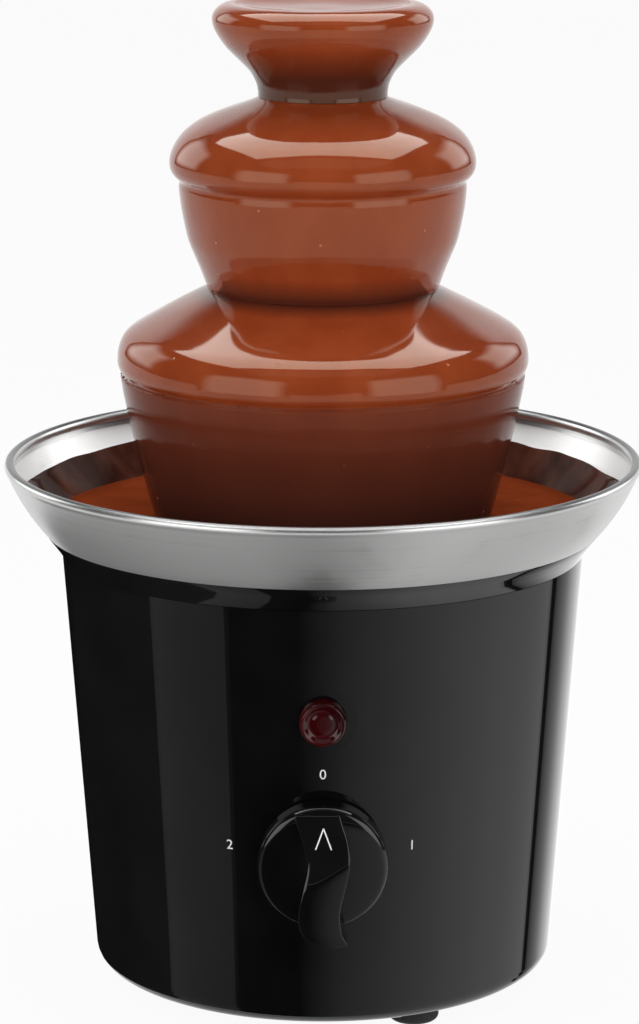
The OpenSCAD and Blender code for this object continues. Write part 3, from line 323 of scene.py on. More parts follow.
def add_table_tones(name, tones, near, far, lift, sharp, fade_from=1.0, fade_to=2.0):
    """A sheet on the floor whose tone changes with the turn round the base, and fades far off."""
    first, last = tones[0][0], tones[-1][0]
    paint, tree, out = new_material(name)
    path = add_node(tree, "ShaderNodeLightPath")
    clear = add_node(tree, "ShaderNodeBsdfTransparent")
    glow = add_node(tree, "ShaderNodeEmission")
    fade = add_ramp(tree, fade_from, fade_to, TONE_BRIGHT, 0.0)
    blend = add_node(tree, "ShaderNodeMixShader")
    where = add_node(tree, "ShaderNodeUVMap")
    split = add_node(tree, "ShaderNodeSeparateXYZ")
    ramp = add_node(tree, "ShaderNodeValToRGB")
    steps = ramp.color_ramp.elements
    for i, (turn, tone) in enumerate(tones):
        step = steps[i] if i < 1 else steps.new(1)
        step.position = (turn - first) / (last - first)
        level = tone / TONE_BRIGHT
        step.color = (level, level, level, 1)
    join(where, 0, split, 0)
    join(split, "X", ramp, 0)
    join(ramp, "Color", glow, "Color")
    join(split, "Y", fade, "Value")
    join(fade, 0, glow, "Strength")
    join(path, "Is Singular Ray", blend, 0)
    join(clear, 0, blend, 1 if sharp else 2)
    join(glow, 0, blend, 2 if sharp else 1)
    join(blend, 0, out, "Surface")
    shape = bmesh.new()
    shape.loops.layers.uv.new("tones")
    bmesh.ops.create_grid(shape, x_segments=TONE_COLUMNS, y_segments=1, size=1, calc_uvs=True)
    for vert in shape.verts:
        turn = math.radians(first + (last - first) * (vert.co.x + 1) / 2)
        share = (vert.co.y + 1) / 2
        vert.co = near(turn) * (1 - share) + far(turn) * share
        vert.co.z = lift
    sheet = add_object(name, shape)
    sheet.data.materials.append(paint)
    sheet.visible_camera = False
    sheet.visible_diffuse = False
    sheet.visible_shadow = False
    sheet.visible_transmission = False


def towards(turn, reach):
    """The point of the floor that far from the axis, at a turn from the front."""
    return Vector((math.sin(turn), -math.cos(turn), 0)) * reach


def fan_near(turn):
    """The fan's inner edge, at the base's foot."""
    return towards(turn, FAN_FOOT_R)


def fan_far(turn):
    """The fan's outer edge, where the wall at that turn mirrors the far floor."""
    return towards(turn, FAN_FOOT_R) + towards(2 * turn, FAN_REACH)


def ring_near(turn):
    """The ring's inner edge."""
    return towards(turn, RING_IN_R)


def ring_far(turn):
    """The ring's outer edge."""
    return towards(turn, RING_OUT_R)


add_table_tones("table_fan", FAN_TONES, fan_near, fan_far, FAN_LIFT, True, FAN_FADE_FROM, FAN_FADE_TO)
add_table_tones("table_ring", RING_TONES, ring_near, ring_far, RING_LIFT, False)


# Rubber feet: three turned rubber pads pressed into the base plate by their pegs. The matt
# rubber, and every moulded plastic after it, takes its fine grain from one shared effect.
MM = 0.001
RUBBER_DARK = (0.012, 0.012, 0.012, 1)
RUBBER_PALE = (0.03, 0.03, 0.029, 1)


def new_group(name, inputs, outputs):
    """An empty shader group with float sockets, and its two end nodes."""
    group = bpy.data.node_groups.new(name, "ShaderNodeTree")
    for socket in inputs:
        group.interface.new_socket(socket, in_out="INPUT", socket_type="NodeSocketFloat")
    for socket in outputs:
        group.interface.new_socket(socket, in_out="OUTPUT", socket_type="NodeSocketFloat")
    return group, add_node(group, "NodeGroupInput"), add_node(group, "NodeGroupOutput")


grain, start, end = new_group(
    "surface grain", ("Scale", "Smoothest", "Roughest"), ("Shade", "Roughness", "Height")
)
where = add_node(grain, "ShaderNodeTexCoord")
fine = add_node(grain, "ShaderNodeTexNoise", {"Detail": 5, "Roughness": 0.6})
broad = add_node(grain, "ShaderNodeTexNoise", {"Scale": 38, "Detail": 3, "Roughness": 0.55})
shade = add_ramp(grain, 0.32, 0.68)
rough = add_node(grain, "ShaderNodeMapRange", {"From Min": 0.3, "From Max": 0.7})
join(where, "Object", fine, "Vector")
join(where, "Object", broad, "Vector")
join(start, "Scale", fine, "Scale")
join(broad, "Fac", shade, "Value")
join(fine, "Fac", rough, "Value")
join(start, "Smoothest", rough, "To Min")
join(start, "Roughest", rough, "To Max")
join(shade, 0, end, "Shade")
join(rough, 0, end, "Roughness")
join(fine, "Fac", end, "Height")


def grained(name, dark, pale, scale, smoothest, roughest, bump, **sockets):
    """A material that mottles between two tones, with grain in its roughness and relief."""
    material, tree, out = new_material(name)
    values = {socket.replace("_", " "): value for socket, value in sockets.items()}
    surface = add_node(tree, "ShaderNodeBsdfPrincipled", values)
    effect = add_node(tree, "ShaderNodeGroup", node_tree=grain)
    effect.inputs["Scale"].default_value = scale
    effect.inputs["Smoothest"].default_value = smoothest
    effect.inputs["Roughest"].default_value = roughest
    tone = add_mix(tree, dark, pale)
    relief = add_node(tree, "ShaderNodeBump", {"Strength": bump, "Distance": 0.1 * MM})
    join(effect, "Shade", tone, "Factor")
    join(tone, "Result", surface, "Base Color")
    join(effect, "Roughness", surface, "Roughness")
    join(effect, "Height", relief, "Height")
    join(relief, 0, surface, "Normal")
    join(surface, 0, out, "Surface")
    return material


def dress(material, *names):
    """Gives CAD nodes their material."""
    for name in names:
        for held in nodes[name].material_slots:
            held.material = material


rubber = grained(
    "rubber", RUBBER_DARK, RUBBER_PALE, scale=900, smoothest=0.62, roughest=0.85, bump=0.35
)
dress(rubber, "rubber_feet")


# Base plate and its screws: a moulded cover with vents under the base, held by three zinc-plated
# screws that turn into bosses of the housing.
SOOT = (0.014, 0.014, 0.015, 1)
CHARCOAL = (0.028, 0.028, 0.029, 1)
ZINC_DARK = (0.42, 0.43, 0.45, 1)
ZINC_PALE = (0.62, 0.62, 0.61, 1)

matt_plastic = grained(
    "matt black plastic", SOOT, CHARCOAL, scale=700, smoothest=0.42, roughest=0.6, bump=0.3
)
zinc = grained(
    "zinc plate", ZINC_DARK, ZINC_PALE, scale=260, smoothest=0.24, roughest=0.42, bump=0.12,
    Metallic=1.0,
)
dress(matt_plastic, "base_plate", "cord_gland")
dress(zinc, "base_screws")


# Housing: the tapered base, moulded in black plastic with a mirror polish that only very fine dust
# and wipe marks break up. It carries every other piece.
INK = (0.0025, 0.0025, 0.0028, 1)
INK_PALE = (0.0045, 0.0045, 0.0048, 1)

gloss_plastic = grained(
    "gloss black plastic", INK, INK_PALE, scale=420, smoothest=0.24, roughest=0.42, bump=0.03,
    Coat_Weight=1.0, Coat_Roughness=0.0, Coat_IOR=1.5, Specular_IOR_Level=0.0,
)
dress(gloss_plastic, "housing")


# Terminal block and the other pale mouldings inside: natural nylon, slightly waxy, screwed or
# pressed in place.
NYLON_DARK = (0.66, 0.63, 0.55, 1)
NYLON_PALE = (0.78, 0.76, 0.7, 1)

nylon = grained(
    "natural nylon", NYLON_DARK, NYLON_PALE, scale=320, smoothest=0.34, roughest=0.5, bump=0.15
)
dress(nylon, "terminal_block", "gearcase", "gearcase_cover", "idler_gear", "output_gear")
dress(nylon, "drive_coupling", "auger", "lamp_nut", "thermal_fuse")


# Bowl: spun stainless steel with a rolled bead, brushed round its axis on the lathe. It sits on a
# rubber gasket on the collar, and three studs under it pull it down.
STEEL_DARK = (0.44, 0.44, 0.435, 1)
STEEL_PALE = (0.6, 0.6, 0.595, 1)
# The inside's tones are paler than the outside's: painted light that brightens the bowl's inside wall.
INSIDE_LIT_DARK = (0.62, 0.62, 0.615, 1)
INSIDE_LIT_PALE = (0.8, 0.8, 0.795, 1)
BRUSH_LINES = 1500
BRUSH_STRETCH = 0.55
STREAK_SHARE = 0.55
BAND_SHARE = 0.3
BEAD_LOW = 173.2 * MM
BEAD_HIGH = 174.6 * MM
BEAD_ROUGH = 0.3
# The bead's crest is painted darker: painted shade that tones down its bright reflection of the overhead
# light.
CREST_LOW = 176.7 * MM
CREST_HIGH = 177.0 * MM
CREST_SHADE_PAINT = (0.13, 0.13, 0.13, 1)
TURN_STEPS = 216
CREASE = math.radians(32)
BOWL_HOLE = 8.1
BOWL_CORNER = (63.0, 136.7)
CORNER_R = 6.0
CORNER_STEPS = 8
BOWL_LEDGE = (72.0, 151.7)
FLARE_FOOT = (89.2, 151.7)
FLARE_TOP = (104.4, 174.4)
FLARE_IN = (-0.83, 0.56)
FLARE_BULGE = 1.4
FLARE_STEPS = 28
FLARE_SHARE = 0.985
FLARE_IN_STEPS = 26
FLARE_IN_SHARE = 0.9
BEAD_AT = (103.3, 175.7)
BEAD_R = 1.7
BEAD_TURNS = (-48, 256)
BEAD_STEPS = 30
BOWL_SHEET = 1.0

lines, start, end = new_group(
    "turned lines", ("Lines", "Smoothest", "Roughest"), ("Shade", "Roughness", "Height")
)
where = add_node(lines, "ShaderNodeTexCoord")
split = add_node(lines, "ShaderNodeSeparateXYZ")
flat = add_node(lines, "ShaderNodeCombineXYZ")
radius = add_node(lines, "ShaderNodeVectorMath", operation="LENGTH")
ring = add_node(lines, "ShaderNodeCombineXYZ")
turned = add_node(lines, "ShaderNodeTexNoise", {"Detail": 6, "Roughness": 0.75})
bands = add_node(lines, "ShaderNodeTexNoise", {"Scale": 420, "Detail": 3, "Roughness": 0.6})
cloud = add_node(lines, "ShaderNodeTexNoise", {"Scale": 46, "Detail": 3})
streaks = add_node(lines, "ShaderNodeMath", operation="MULTIPLY_ADD")
streaks.inputs[1].default_value = STREAK_SHARE
both = add_node(lines, "ShaderNodeMath", operation="MULTIPLY_ADD")
both.inputs[1].default_value = BAND_SHARE
shade = add_ramp(lines, 0.52, 0.88)
rough = add_node(lines, "ShaderNodeMapRange", {"From Min": 0.3, "From Max": 0.7})
join(where, "Object", split, 0)
join(split, "X", flat, "X")
join(split, "Y", flat, "Y")
join(flat, 0, radius, 0)
join(radius, "Value", ring, "X")
join(split, "Z", ring, "Y")
join(ring, 0, turned, "Vector")
join(ring, 0, bands, "Vector")
join(where, "Object", cloud, "Vector")
join(start, "Lines", turned, "Scale")
join(turned, "Fac", streaks, 0)
join(bands, "Fac", both, 0)
join(cloud, "Fac", both, 2)
join(both, 0, streaks, 2)
join(streaks, 0, shade, "Value")
join(turned, "Fac", rough, "Value")
join(start, "Smoothest", rough, "To Min")
join(start, "Roughest", rough, "To Max")
join(shade, 0, end, "Shade")
join(rough, 0, end, "Roughness")
join(turned, "Fac", end, "Height")


def lathe_turned(name, dark, pale, fineness, smoothest, roughest, bump, stretch):
    """Metal with fine rings turned in it, and the shader and effect nodes for more."""
    material, tree, out = new_material(name)
    values = {"Metallic": 1.0, "Anisotropic": stretch, "Anisotropic Rotation": 0.25}
    surface = add_node(tree, "ShaderNodeBsdfPrincipled", values)
    around = add_node(tree, "ShaderNodeTangent", direction_type="RADIAL", axis="Z")
    effect = add_node(tree, "ShaderNodeGroup", node_tree=lines)
    effect.inputs["Lines"].default_value = fineness
    effect.inputs["Smoothest"].default_value = smoothest
    effect.inputs["Roughest"].default_value = roughest
    tone = add_mix(tree, dark, pale)
    relief = add_node(tree, "ShaderNodeBump", {"Strength": bump, "Distance": 0.05 * MM})
    join(effect, "Shade", tone, "Factor")
    join(tone, "Result", surface, "Base Color")
    join(effect, "Roughness", surface, "Roughness")
    join(effect, "Height", relief, "Height")
    join(relief, 0, surface, "Normal")
    join(around, 0, surface, "Tangent")
    join(surface, 0, out, "Surface")
    return material, tree, surface, effect


def arc(centre, radius, start, stop, steps):
    """Points of an arc between two angles in degrees."""
    turns = [math.radians(start + (stop - start) * i / steps) for i in range(steps + 1)]
    return [(centre[0] + radius * math.cos(turn), centre[1] + radius * math.sin(turn)) for turn in turns]


def bow(first, last, bulge, share, steps):
    """Points of a line that bulges to its right, up to a share of its length."""
    along = Vector(last) - Vector(first)
    aside = Vector((along.y, -along.x)).normalized() * bulge
    places = [share * i / steps for i in range(steps + 1)]
    return [Vector(first) + along * t + aside * 4 * t * (1 - t) for t in places]


def spun(points, closed=False):
    """A sheet spun round the tower's axis from (radius, height) points in millimetres."""
    shape = bmesh.new()
    verts = [shape.verts.new((r * MM, 0, z * MM)) for r, z in points]
    pairs = list(zip(verts, verts[1:])) + ([(verts[-1], verts[0])] if closed else [])
    edges = [shape.edges.new(pair) for pair in pairs]
    bmesh.ops.spin(
        shape, geom=verts + edges, axis=(0, 0, 1), cent=(0, 0, 0), angle=math.tau,
        steps=TURN_STEPS, use_merge=True,
    )
    bmesh.ops.remove_doubles(shape, verts=shape.verts, dist=0.001 * MM)
    bmesh.ops.recalc_face_normals(shape, faces=shape.faces)
    return shape


bowl_steel, tree, surface, effect = lathe_turned(
    "brushed bowl steel", STEEL_DARK, STEEL_PALE, BRUSH_LINES,
    smoothest=0.26, roughest=0.38, bump=0.05, stretch=BRUSH_STRETCH,
)
where = add_node(tree, "ShaderNodeTexCoord")
split = add_node(tree, "ShaderNodeSeparateXYZ")
on_bead = add_ramp(tree, BEAD_LOW, BEAD_HIGH)
polished = add_node(tree, "ShaderNodeMix", {"B": BEAD_ROUGH})
join(where, "Object", split, 0)
join(split, "Z", on_bead, "Value")
join(on_bead, 0, polished, "Factor")
join(effect, "Roughness", polished, "A")
join(polished, "Result", surface, "Roughness")
bright = surface.inputs["Base Color"].links[0].from_socket
# Painted shade on the bead's crest: a dark strip that tones down its reflection of the overhead light.
on_crest = add_ramp(tree, CREST_LOW, CREST_HIGH)
crest_painted_shade = add_node(tree, "ShaderNodeMix", data_type="RGBA")
crest_painted_shade.inputs["B"].default_value = CREST_SHADE_PAINT
join(split, "Z", on_crest, "Value")
join(on_crest, 0, crest_painted_shade, "Factor")
tree.links.new(bright, crest_painted_shade.inputs["A"])
join(crest_painted_shade, "Result", surface, "Base Color")
# The bowl's inside gets a paler copy of the steel: painted light on the inside wall.
lit_inside_steel = lathe_turned(
    "satin bowl inside, painted light", INSIDE_LIT_DARK, INSIDE_LIT_PALE, BRUSH_LINES,
    smoothest=0.4, roughest=0.52, bump=0.05, stretch=BRUSH_STRETCH,
)[0]
underside = BOWL_CORNER[1] - CORNER_R
outside = [(BOWL_HOLE, underside)]
outside += arc(BOWL_CORNER, CORNER_R, -90, 0, CORNER_STEPS)
outside += [BOWL_LEDGE]
outside += bow(FLARE_FOOT, FLARE_TOP, FLARE_BULGE, FLARE_SHARE, FLARE_STEPS)
outside += arc(BEAD_AT, BEAD_R, *BEAD_TURNS, BEAD_STEPS)
inner_foot = Vector(FLARE_FOOT) + Vector(FLARE_IN)
inner_top = Vector(FLARE_TOP) + Vector(FLARE_IN)
inside = [(BOWL_HOLE, underside + BOWL_SHEET)]
inside += arc(BOWL_CORNER, CORNER_R - BOWL_SHEET, -90, 0, CORNER_STEPS)
inside += [(BOWL_LEDGE[0] - BOWL_SHEET, BOWL_LEDGE[1] + BOWL_SHEET)]
inside += bow(inner_foot, inner_top, FLARE_BULGE, FLARE_IN_SHARE, FLARE_IN_STEPS)
shape = spun(outside + inside[::-1], closed=True)
bowl = add_object("bowl_shell", shape)
bowl.data.set_sharp_from_angle(angle=CREASE)
bowl.data.materials.append(bowl_steel)
bowl.data.materials.append(lit_inside_steel)
for face in bowl.data.polygons:
    inward = face.normal.x * face.center.x + face.normal.y * face.center.y < 0
    face.material_index = 1 if inward and face.center.z < BEAD_LOW else 0
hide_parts("bowl")
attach(bowl, "base_unit")
dress(rubber, "bowl_gasket")


# Collar: the trim ring between the base and the bowl, moulded in the same gloss plastic. Its thin
# lip cups the foot of the bowl's flare.
COLLAR_OUTLINE = (
    (82.0, 147.0), (86.5, 146.7), (87.1, 147.7), (88.4, 149.6), (90.2, 152.0), (91.7, 154.0),
    (92.1, 154.7), (91.9, 155.0), (91.6, 154.9), (90.4, 153.3), (89.4, 151.9), (88.6, 151.0),
    (82.0, 150.6),
)

collar = add_object("collar_trim", spun(COLLAR_OUTLINE, closed=True))
collar.data.set_sharp_from_angle(angle=CREASE)
collar.data.materials.append(gloss_plastic)
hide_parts("collar_ring")
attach(collar, "base_unit")


# Bowl hub, its nut and its seal: a turned brass bearing through the bowl's floor, with a red
# silicone lip seal round the drive shaft.
BRASS_DARK = (0.45, 0.29, 0.1, 1)
BRASS_PALE = (0.7, 0.5, 0.2, 1)
SILICONE_DARK = (0.28, 0.035, 0.025, 1)
SILICONE_PALE = (0.4, 0.07, 0.05, 1)

brass = lathe_turned(
    "turned brass", BRASS_DARK, BRASS_PALE,
    fineness=1800, smoothest=0.2, roughest=0.35, bump=0.2, stretch=0.4,
)[0]
silicone = grained(
    "red silicone", SILICONE_DARK, SILICONE_PALE, scale=500, smoothest=0.4, roughest=0.55, bump=0.2
)
dress(brass, "bowl_hub", "hub_nut", "shaft_bushes", "motor_pinion")
dress(silicone, "shaft_seal")


# Studs under the bowl, their nuts and the clamp plate: zinc-plated steel that draws the bowl down
# on the housing's ribs.
dress(zinc, "bowl_studs", "stud_nuts", "clamp_plate")


# Heating: an aluminium spreader disc under the bowl's floor, a heat-darkened tubular element, and
# the thermostat that switches it.
ALUMINIUM_DARK = (0.55, 0.56, 0.57, 1)
ALUMINIUM_PALE = (0.75, 0.76, 0.77, 1)
BURNT_DARK = (0.1, 0.085, 0.08, 1)
BURNT_PALE = (0.24, 0.2, 0.17, 1)

aluminium = lathe_turned(
    "aluminium", ALUMINIUM_DARK, ALUMINIUM_PALE,
    fineness=1500, smoothest=0.3, roughest=0.45, bump=0.15, stretch=0.4,
)[0]
burnt_steel = grained(
    "burnt steel", BURNT_DARK, BURNT_PALE, scale=300, smoothest=0.35, roughest=0.6, bump=0.2,
    Metallic=1.0,
)
dress(aluminium, "heat_spreader")
dress(burnt_steel, "heating_element")
dress(matt_plastic, "thermostat")


# Drive: a small motor under a two-stage nylon gearcase. Its can and screws are plated steel, and
# its stator and rotor are laminated iron.
IRON_DARK = (0.1, 0.1, 0.11, 1)
IRON_PALE = (0.2, 0.2, 0.21, 1)

iron = grained(
    "laminated iron", IRON_DARK, IRON_PALE, scale=420, smoothest=0.4, roughest=0.6, bump=0.3,
    Metallic=1.0,
)
dress(zinc, "gearcase_screws", "motor_can", "motor_screws", "idler_pin")
dress(matt_plastic, "motor_end_cap")
dress(iron, "stator", "rotor")


# Tower: the tube with its inlet arches, the two domes, the crown and the studs that locate it,
# all pressed or spun from stainless steel with a satin finish.
SATIN_DARK = (0.5, 0.5, 0.495, 1)
SATIN_PALE = (0.7, 0.7, 0.69, 1)

tower_steel = lathe_turned(
    "satin steel", SATIN_DARK, SATIN_PALE,
    fineness=2200, smoothest=0.2, roughest=0.34, bump=0.15, stretch=0.5,
)[0]
dress(tower_steel, "tower_tube", "lower_tier", "upper_tier", "crown", "locating_studs")
dress(tower_steel, "drive_shaft")


# Chocolate: melted milk chocolate, wet and glossy, with sparse small bubbles and faint lines of
# flow. It runs as a film over each dome and hangs from its lip as a curtain.
COCOA = (0.27, 0.045, 0.0115, 1)
COCOA_PALE = (0.32, 0.06, 0.017, 1)
SPECK_TONE = (0.5, 0.16, 0.07, 1)
SPECK_SCALE = 150
SPECK_EDGE = (0.05, 0.085)
SPECK_RARE = (0.84, 0.86)
SPECK_RELIEF = 0.3 * MM
FLOW_SCALE = (70, 70, 30)
FLOW_TONES = (0.3, 0.75)


def chocolate_finish(name, dark, pale, gleam=0.5, shade_tone=COCOA, shade_from=-1.0, shade_to=-2.0):
    """Wet chocolate between two tones, which painted shade darkens from one height to another."""
    material, tree, out = new_material(name)
    wet = {
        "Roughness": 0.07,
        "IOR": 1.45,
        "Specular IOR Level": gleam,
        "Specular Tint": (1.0, 0.88, 0.68, 1),
        "Subsurface Weight": 0.1,
        "Subsurface Scale": 2.0 * MM,
    }
    surface = add_node(tree, "ShaderNodeBsdfPrincipled", wet)
    surface.inputs["Subsurface Radius"].default_value = (1.0, 0.35, 0.15)
    where = add_node(tree, "ShaderNodeTexCoord")
    stretch = add_node(tree, "ShaderNodeMapping", {"Scale": FLOW_SCALE})
    flow = add_node(tree, "ShaderNodeTexNoise", {"Scale": 1.0, "Detail": 3})
    toned = add_ramp(tree, *FLOW_TONES)
    tone = add_mix(tree, dark, pale)
    # Painted shade: the colour turns to a darker tone between two heights.
    height = add_node(tree, "ShaderNodeSeparateXYZ")
    depth = add_node(tree, "ShaderNodeMapRange", {"From Min": shade_from, "From Max": shade_to})
    painted_shade = add_node(tree, "ShaderNodeMix", data_type="RGBA")
    painted_shade.inputs["B"].default_value = shade_tone
    cells = add_node(tree, "ShaderNodeTexVoronoi", {"Scale": SPECK_SCALE})
    dot = add_ramp(tree, *SPECK_EDGE, 1.0, 0.0)
    chance = add_node(tree, "ShaderNodeSeparateColor")
    some = add_ramp(tree, *SPECK_RARE)
    bubble = add_node(tree, "ShaderNodeMath", operation="MULTIPLY")
    spotted = add_node(tree, "ShaderNodeMix", data_type="RGBA")
    spotted.inputs["B"].default_value = SPECK_TONE
    relief = add_node(tree, "ShaderNodeBump", {"Strength": 0.6, "Distance": SPECK_RELIEF})
    join(where, "Object", stretch, "Vector")
    join(stretch, 0, flow, "Vector")
    join(flow, "Fac", toned, "Value")
    join(toned, 0, tone, "Factor")
    join(where, "Object", cells, "Vector")
    join(cells, "Distance", dot, "Value")
    join(cells, "Color", chance, 0)
    join(chance, 0, some, "Value")
    join(dot, 0, bubble, 0)
    join(some, 0, bubble, 1)
    join(bubble, 0, spotted, "Factor")
    join(where, "Object", height, 0)
    join(height, "Z", depth, "Value")
    join(depth, 0, painted_shade, "Factor")
    join(tone, "Result", painted_shade, "A")
    join(painted_shade, "Result", spotted, "A")
    join(spotted, "Result", surface, "Base Color")
    join(bubble, 0, relief, "Height")
    join(relief, 0, surface, "Normal")
    join(surface, 0, out, "Surface")
    return material


chocolate = chocolate_finish("melted chocolate", COCOA, COCOA_PALE)


# Pool: the chocolate that stands in the bowl round the tower's foot, drawn up a little where the
# lower curtain falls into it and where it meets the bowl.
POOL_OUTLINE = (
    (31.2, 133.0), (31.2, 143.0), (31.3, 152.0), (31.8, 154.2), (33.6, 154.9), (50.0, 154.9),
    (54.0, 155.3), (57.2, 156.0), (59.6, 155.5), (63.0, 155.2), (75.0, 155.3),
    (86.0, 155.3), (89.0, 155.5), (90.6, 156.2),
)
POOL_THICK = 1.2 * MM
POOL_DARK = (0.22, 0.038, 0.011, 1)
POOL_PALE = (0.27, 0.05, 0.015, 1)
CURVE_STEPS = 6


def smooth_outline(knots):
    """Points along a smooth curve through the (radius, height) knots, which are in millimetres."""
    points = [Vector((r, 0, z)) for r, z in knots]
    curve = [points[0]]
    for i in range(len(points) - 1):
        before = points[max(i - 1, 0)]
        after = points[min(i + 2, len(points) - 1)]
        first = points[i] + (points[i + 1] - before) / 6
        second = points[i + 1] - (after - points[i]) / 6
        curve += interpolate_bezier(points[i], first, second, points[i + 1], CURVE_STEPS)[1:]
    return [(point.x, point.z) for point in curve]


def face_up(shape):
    """Turns an open sheet so that its topmost faces look up."""
    shape.faces.ensure_lookup_table()
    top = max(shape.faces, key=lambda face: face.calc_center_median().z)
    if top.normal.z < 0:
        bmesh.ops.reverse_faces(shape, faces=shape.faces)


def ripple(shape, depth, spread, tall):
    """Makes a sheet slightly uneven, with waves spread mm wide and tall mm high."""
    for vert in shape.verts:
        turn = math.atan2(vert.co.y, vert.co.x)
        reach = math.hypot(vert.co.x, vert.co.y) / (spread * MM)
        spot = (math.cos(turn) * reach, math.sin(turn) * reach, vert.co.z / (tall * MM))
        vert.co += vert.normal * noise.noise(spot) * depth


def thicken(shape, depth):
    """Gives a sheet its thickness on the side away from its faces."""
    shape.normal_update()
    bmesh.ops.solidify(shape, geom=shape.faces[:], thickness=depth)


shape = spun(smooth_outline(POOL_OUTLINE))
face_up(shape)
ripple(shape, depth=0.25 * MM, spread=22, tall=60)
thicken(shape, POOL_THICK)
pool = add_object("chocolate_pool_surface", shape)
still_chocolate = chocolate_finish("still chocolate", POOL_DARK, POOL_PALE, gleam=0.0)
pool.data.materials.append(still_chocolate)
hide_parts("chocolate_pool")
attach(pool, "base_unit")


# Smear: the film of chocolate left on the bowl's wall above the pool, thin and uneven, with a
# ragged upper edge.
SMEAR_OUTLINE = (
    (89.6, 155.0), (91.0, 156.3), (92.9, 158.5), (95.1, 161.3), (97.0, 164.0), (98.0, 165.6),
    (98.7, 166.6),
)
SMEAR_FOOT = 156.3 * MM
SMEAR_TOP = 166.6 * MM
SMEAR_RAGGED = 0.9 * MM
SMEAR_WAVE = 17 * MM
SMEAR_LOWER = 0.2
SMEAR_SLOPE = 0.62
SMEAR_THICK = 0.35 * MM
SMEAR_DARK = (0.045, 0.014, 0.01, 1)
SMEAR_PALE = (0.17, 0.06, 0.038, 1)

smear_finish = chocolate_finish("chocolate smear", SMEAR_DARK, SMEAR_PALE, gleam=0.03)
shape = spun(smooth_outline(SMEAR_OUTLINE))
face_up(shape)
for vert in shape.verts:
    climb = max(0.0, (vert.co.z - SMEAR_FOOT) / (SMEAR_TOP - SMEAR_FOOT))
    spot = Vector((vert.co.x, vert.co.y, 0)) / SMEAR_WAVE
    drop = climb * SMEAR_RAGGED * (noise.noise(spot) - SMEAR_LOWER)
    slope = Vector((vert.co.x, vert.co.y, 0)).normalized() * SMEAR_SLOPE + Vector((0, 0, 1))
    vert.co += slope * drop
thicken(shape, SMEAR_THICK)
smear = add_object("chocolate_smear", shape)
smear.data.materials.append(smear_finish)
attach(smear, "base_unit")


# Lower dome's chocolate: a film from the tube to the lip, ringed by ripples where the upper curtain
# lands, and the curtain that falls from the lip into the pool. The curtain is painted darker than the
# dome, and darker
# still towards its foot: painted shade.
LOWER_OUTLINE = (
    (20.0, 242.5), (28.0, 238.9), (34.0, 236.05), (38.0, 234.06), (42.0, 232.05), (45.0, 230.51),
    (49.0, 228.42), (53.0, 226.28), (57.5, 223.83), (60.5, 222.12),
    (62.9, 220.6), (64.8, 218.9), (66.0, 217.1), (66.8, 215.2), (67.3, 213.2), (67.5, 211.2),
    (67.5, 209.8), (67.1, 208.2), (66.5, 207.2), (66.2, 206.5), (66.3, 205.8), (66.5, 204.9),
    (66.0, 201.0), (65.2, 196.6), (63.8, 190.0), (61.9, 181.7), (58.7, 168.8), (56.2, 159.4),
    (55.3, 155.2),
)
LIP_LINE = 206.6 * MM
# The curtain's tones are a darker copy of the dome's chocolate, with a still darker tone towards its
# foot: painted shade.
CURTAIN_SHADED_DARK = (0.175, 0.035, 0.0155, 1)
CURTAIN_SHADED_PALE = (0.2, 0.042, 0.018, 1)
CURTAIN_SHADE = (0.046, 0.0165, 0.0125, 1)
CURTAIN_TOP = 207 * MM
CURTAIN_FOOT = 163 * MM
LANDING_SHADE = (0.1, 0.021, 0.0105, 1)
DOME_SHADE_FROM = 231.0 * MM
DOME_SHADE_TO = 234.0 * MM
FILM_THICK = 1.6 * MM

shape = spun(smooth_outline(LOWER_OUTLINE))
face_up(shape)
ripple(shape, depth=0.22 * MM, spread=16, tall=26)
thicken(shape, FILM_THICK)
lower_film = add_object("chocolate_lower_film", shape)
# The curtain's material paints shade on it: darker than the dome, and darker from the lip down to its
# foot.
shaded_falling_chocolate = chocolate_finish(
    "shaded falling chocolate", CURTAIN_SHADED_DARK, CURTAIN_SHADED_PALE, gleam=0.1,
    shade_tone=CURTAIN_SHADE, shade_from=CURTAIN_TOP, shade_to=CURTAIN_FOOT,
)
# The dome's film is painted darker where the upper curtain lands on it and inside that ring: painted
# shade.
dome_chocolate = chocolate_finish(
    "dome chocolate", COCOA, COCOA_PALE, gleam=0.5,
    shade_tone=LANDING_SHADE, shade_from=DOME_SHADE_FROM, shade_to=DOME_SHADE_TO,
)
lower_film.data.materials.append(dome_chocolate)
lower_film.data.materials.append(shaded_falling_chocolate)
for face in lower_film.data.polygons:
    face.material_index = 1 if face.center.z < LIP_LINE else 0
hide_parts("chocolate_lower")
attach(lower_film, "lower_dome")


# Bubbles: fine beads of air that gather in the chocolate just under the lower lip, with a few
# carried further down the curtain. They move with it.
BUBBLE_COUNT = 230
BUBBLE_SEED = 11
BUBBLE_HIGH = 206.2
BUBBLE_SPREAD = 5.5
BUBBLE_SMALL = 0.14
BUBBLE_LARGE = 0.42
BUBBLE_SUNK = 0.75
BUBBLE_GATHER = 2.5
CURTAIN_R = 66.45
CURTAIN_LEAN = 0.13
CURTAIN_LEAN_FROM = 204.9

draw = random.Random(BUBBLE_SEED)
shape = bmesh.new()
for _ in range(BUBBLE_COUNT):
    turn = draw.uniform(0, math.tau)
    height = BUBBLE_HIGH - BUBBLE_SPREAD * draw.random() ** BUBBLE_GATHER
    size = draw.uniform(BUBBLE_SMALL, BUBBLE_LARGE)
    lean = CURTAIN_LEAN * max(0.0, CURTAIN_LEAN_FROM - height)
    reach = CURTAIN_R - lean - BUBBLE_SUNK * size
    spot = Vector((math.cos(turn) * reach, math.sin(turn) * reach, height)) * MM
    bmesh.ops.create_icosphere(
        shape, subdivisions=2, radius=size * MM, matrix=Matrix.Translation(spot)
    )
bubbles = add_object("chocolate_bubbles", shape)
bubbles.data.materials.append(shaded_falling_chocolate)
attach(bubbles, "lower_dome")
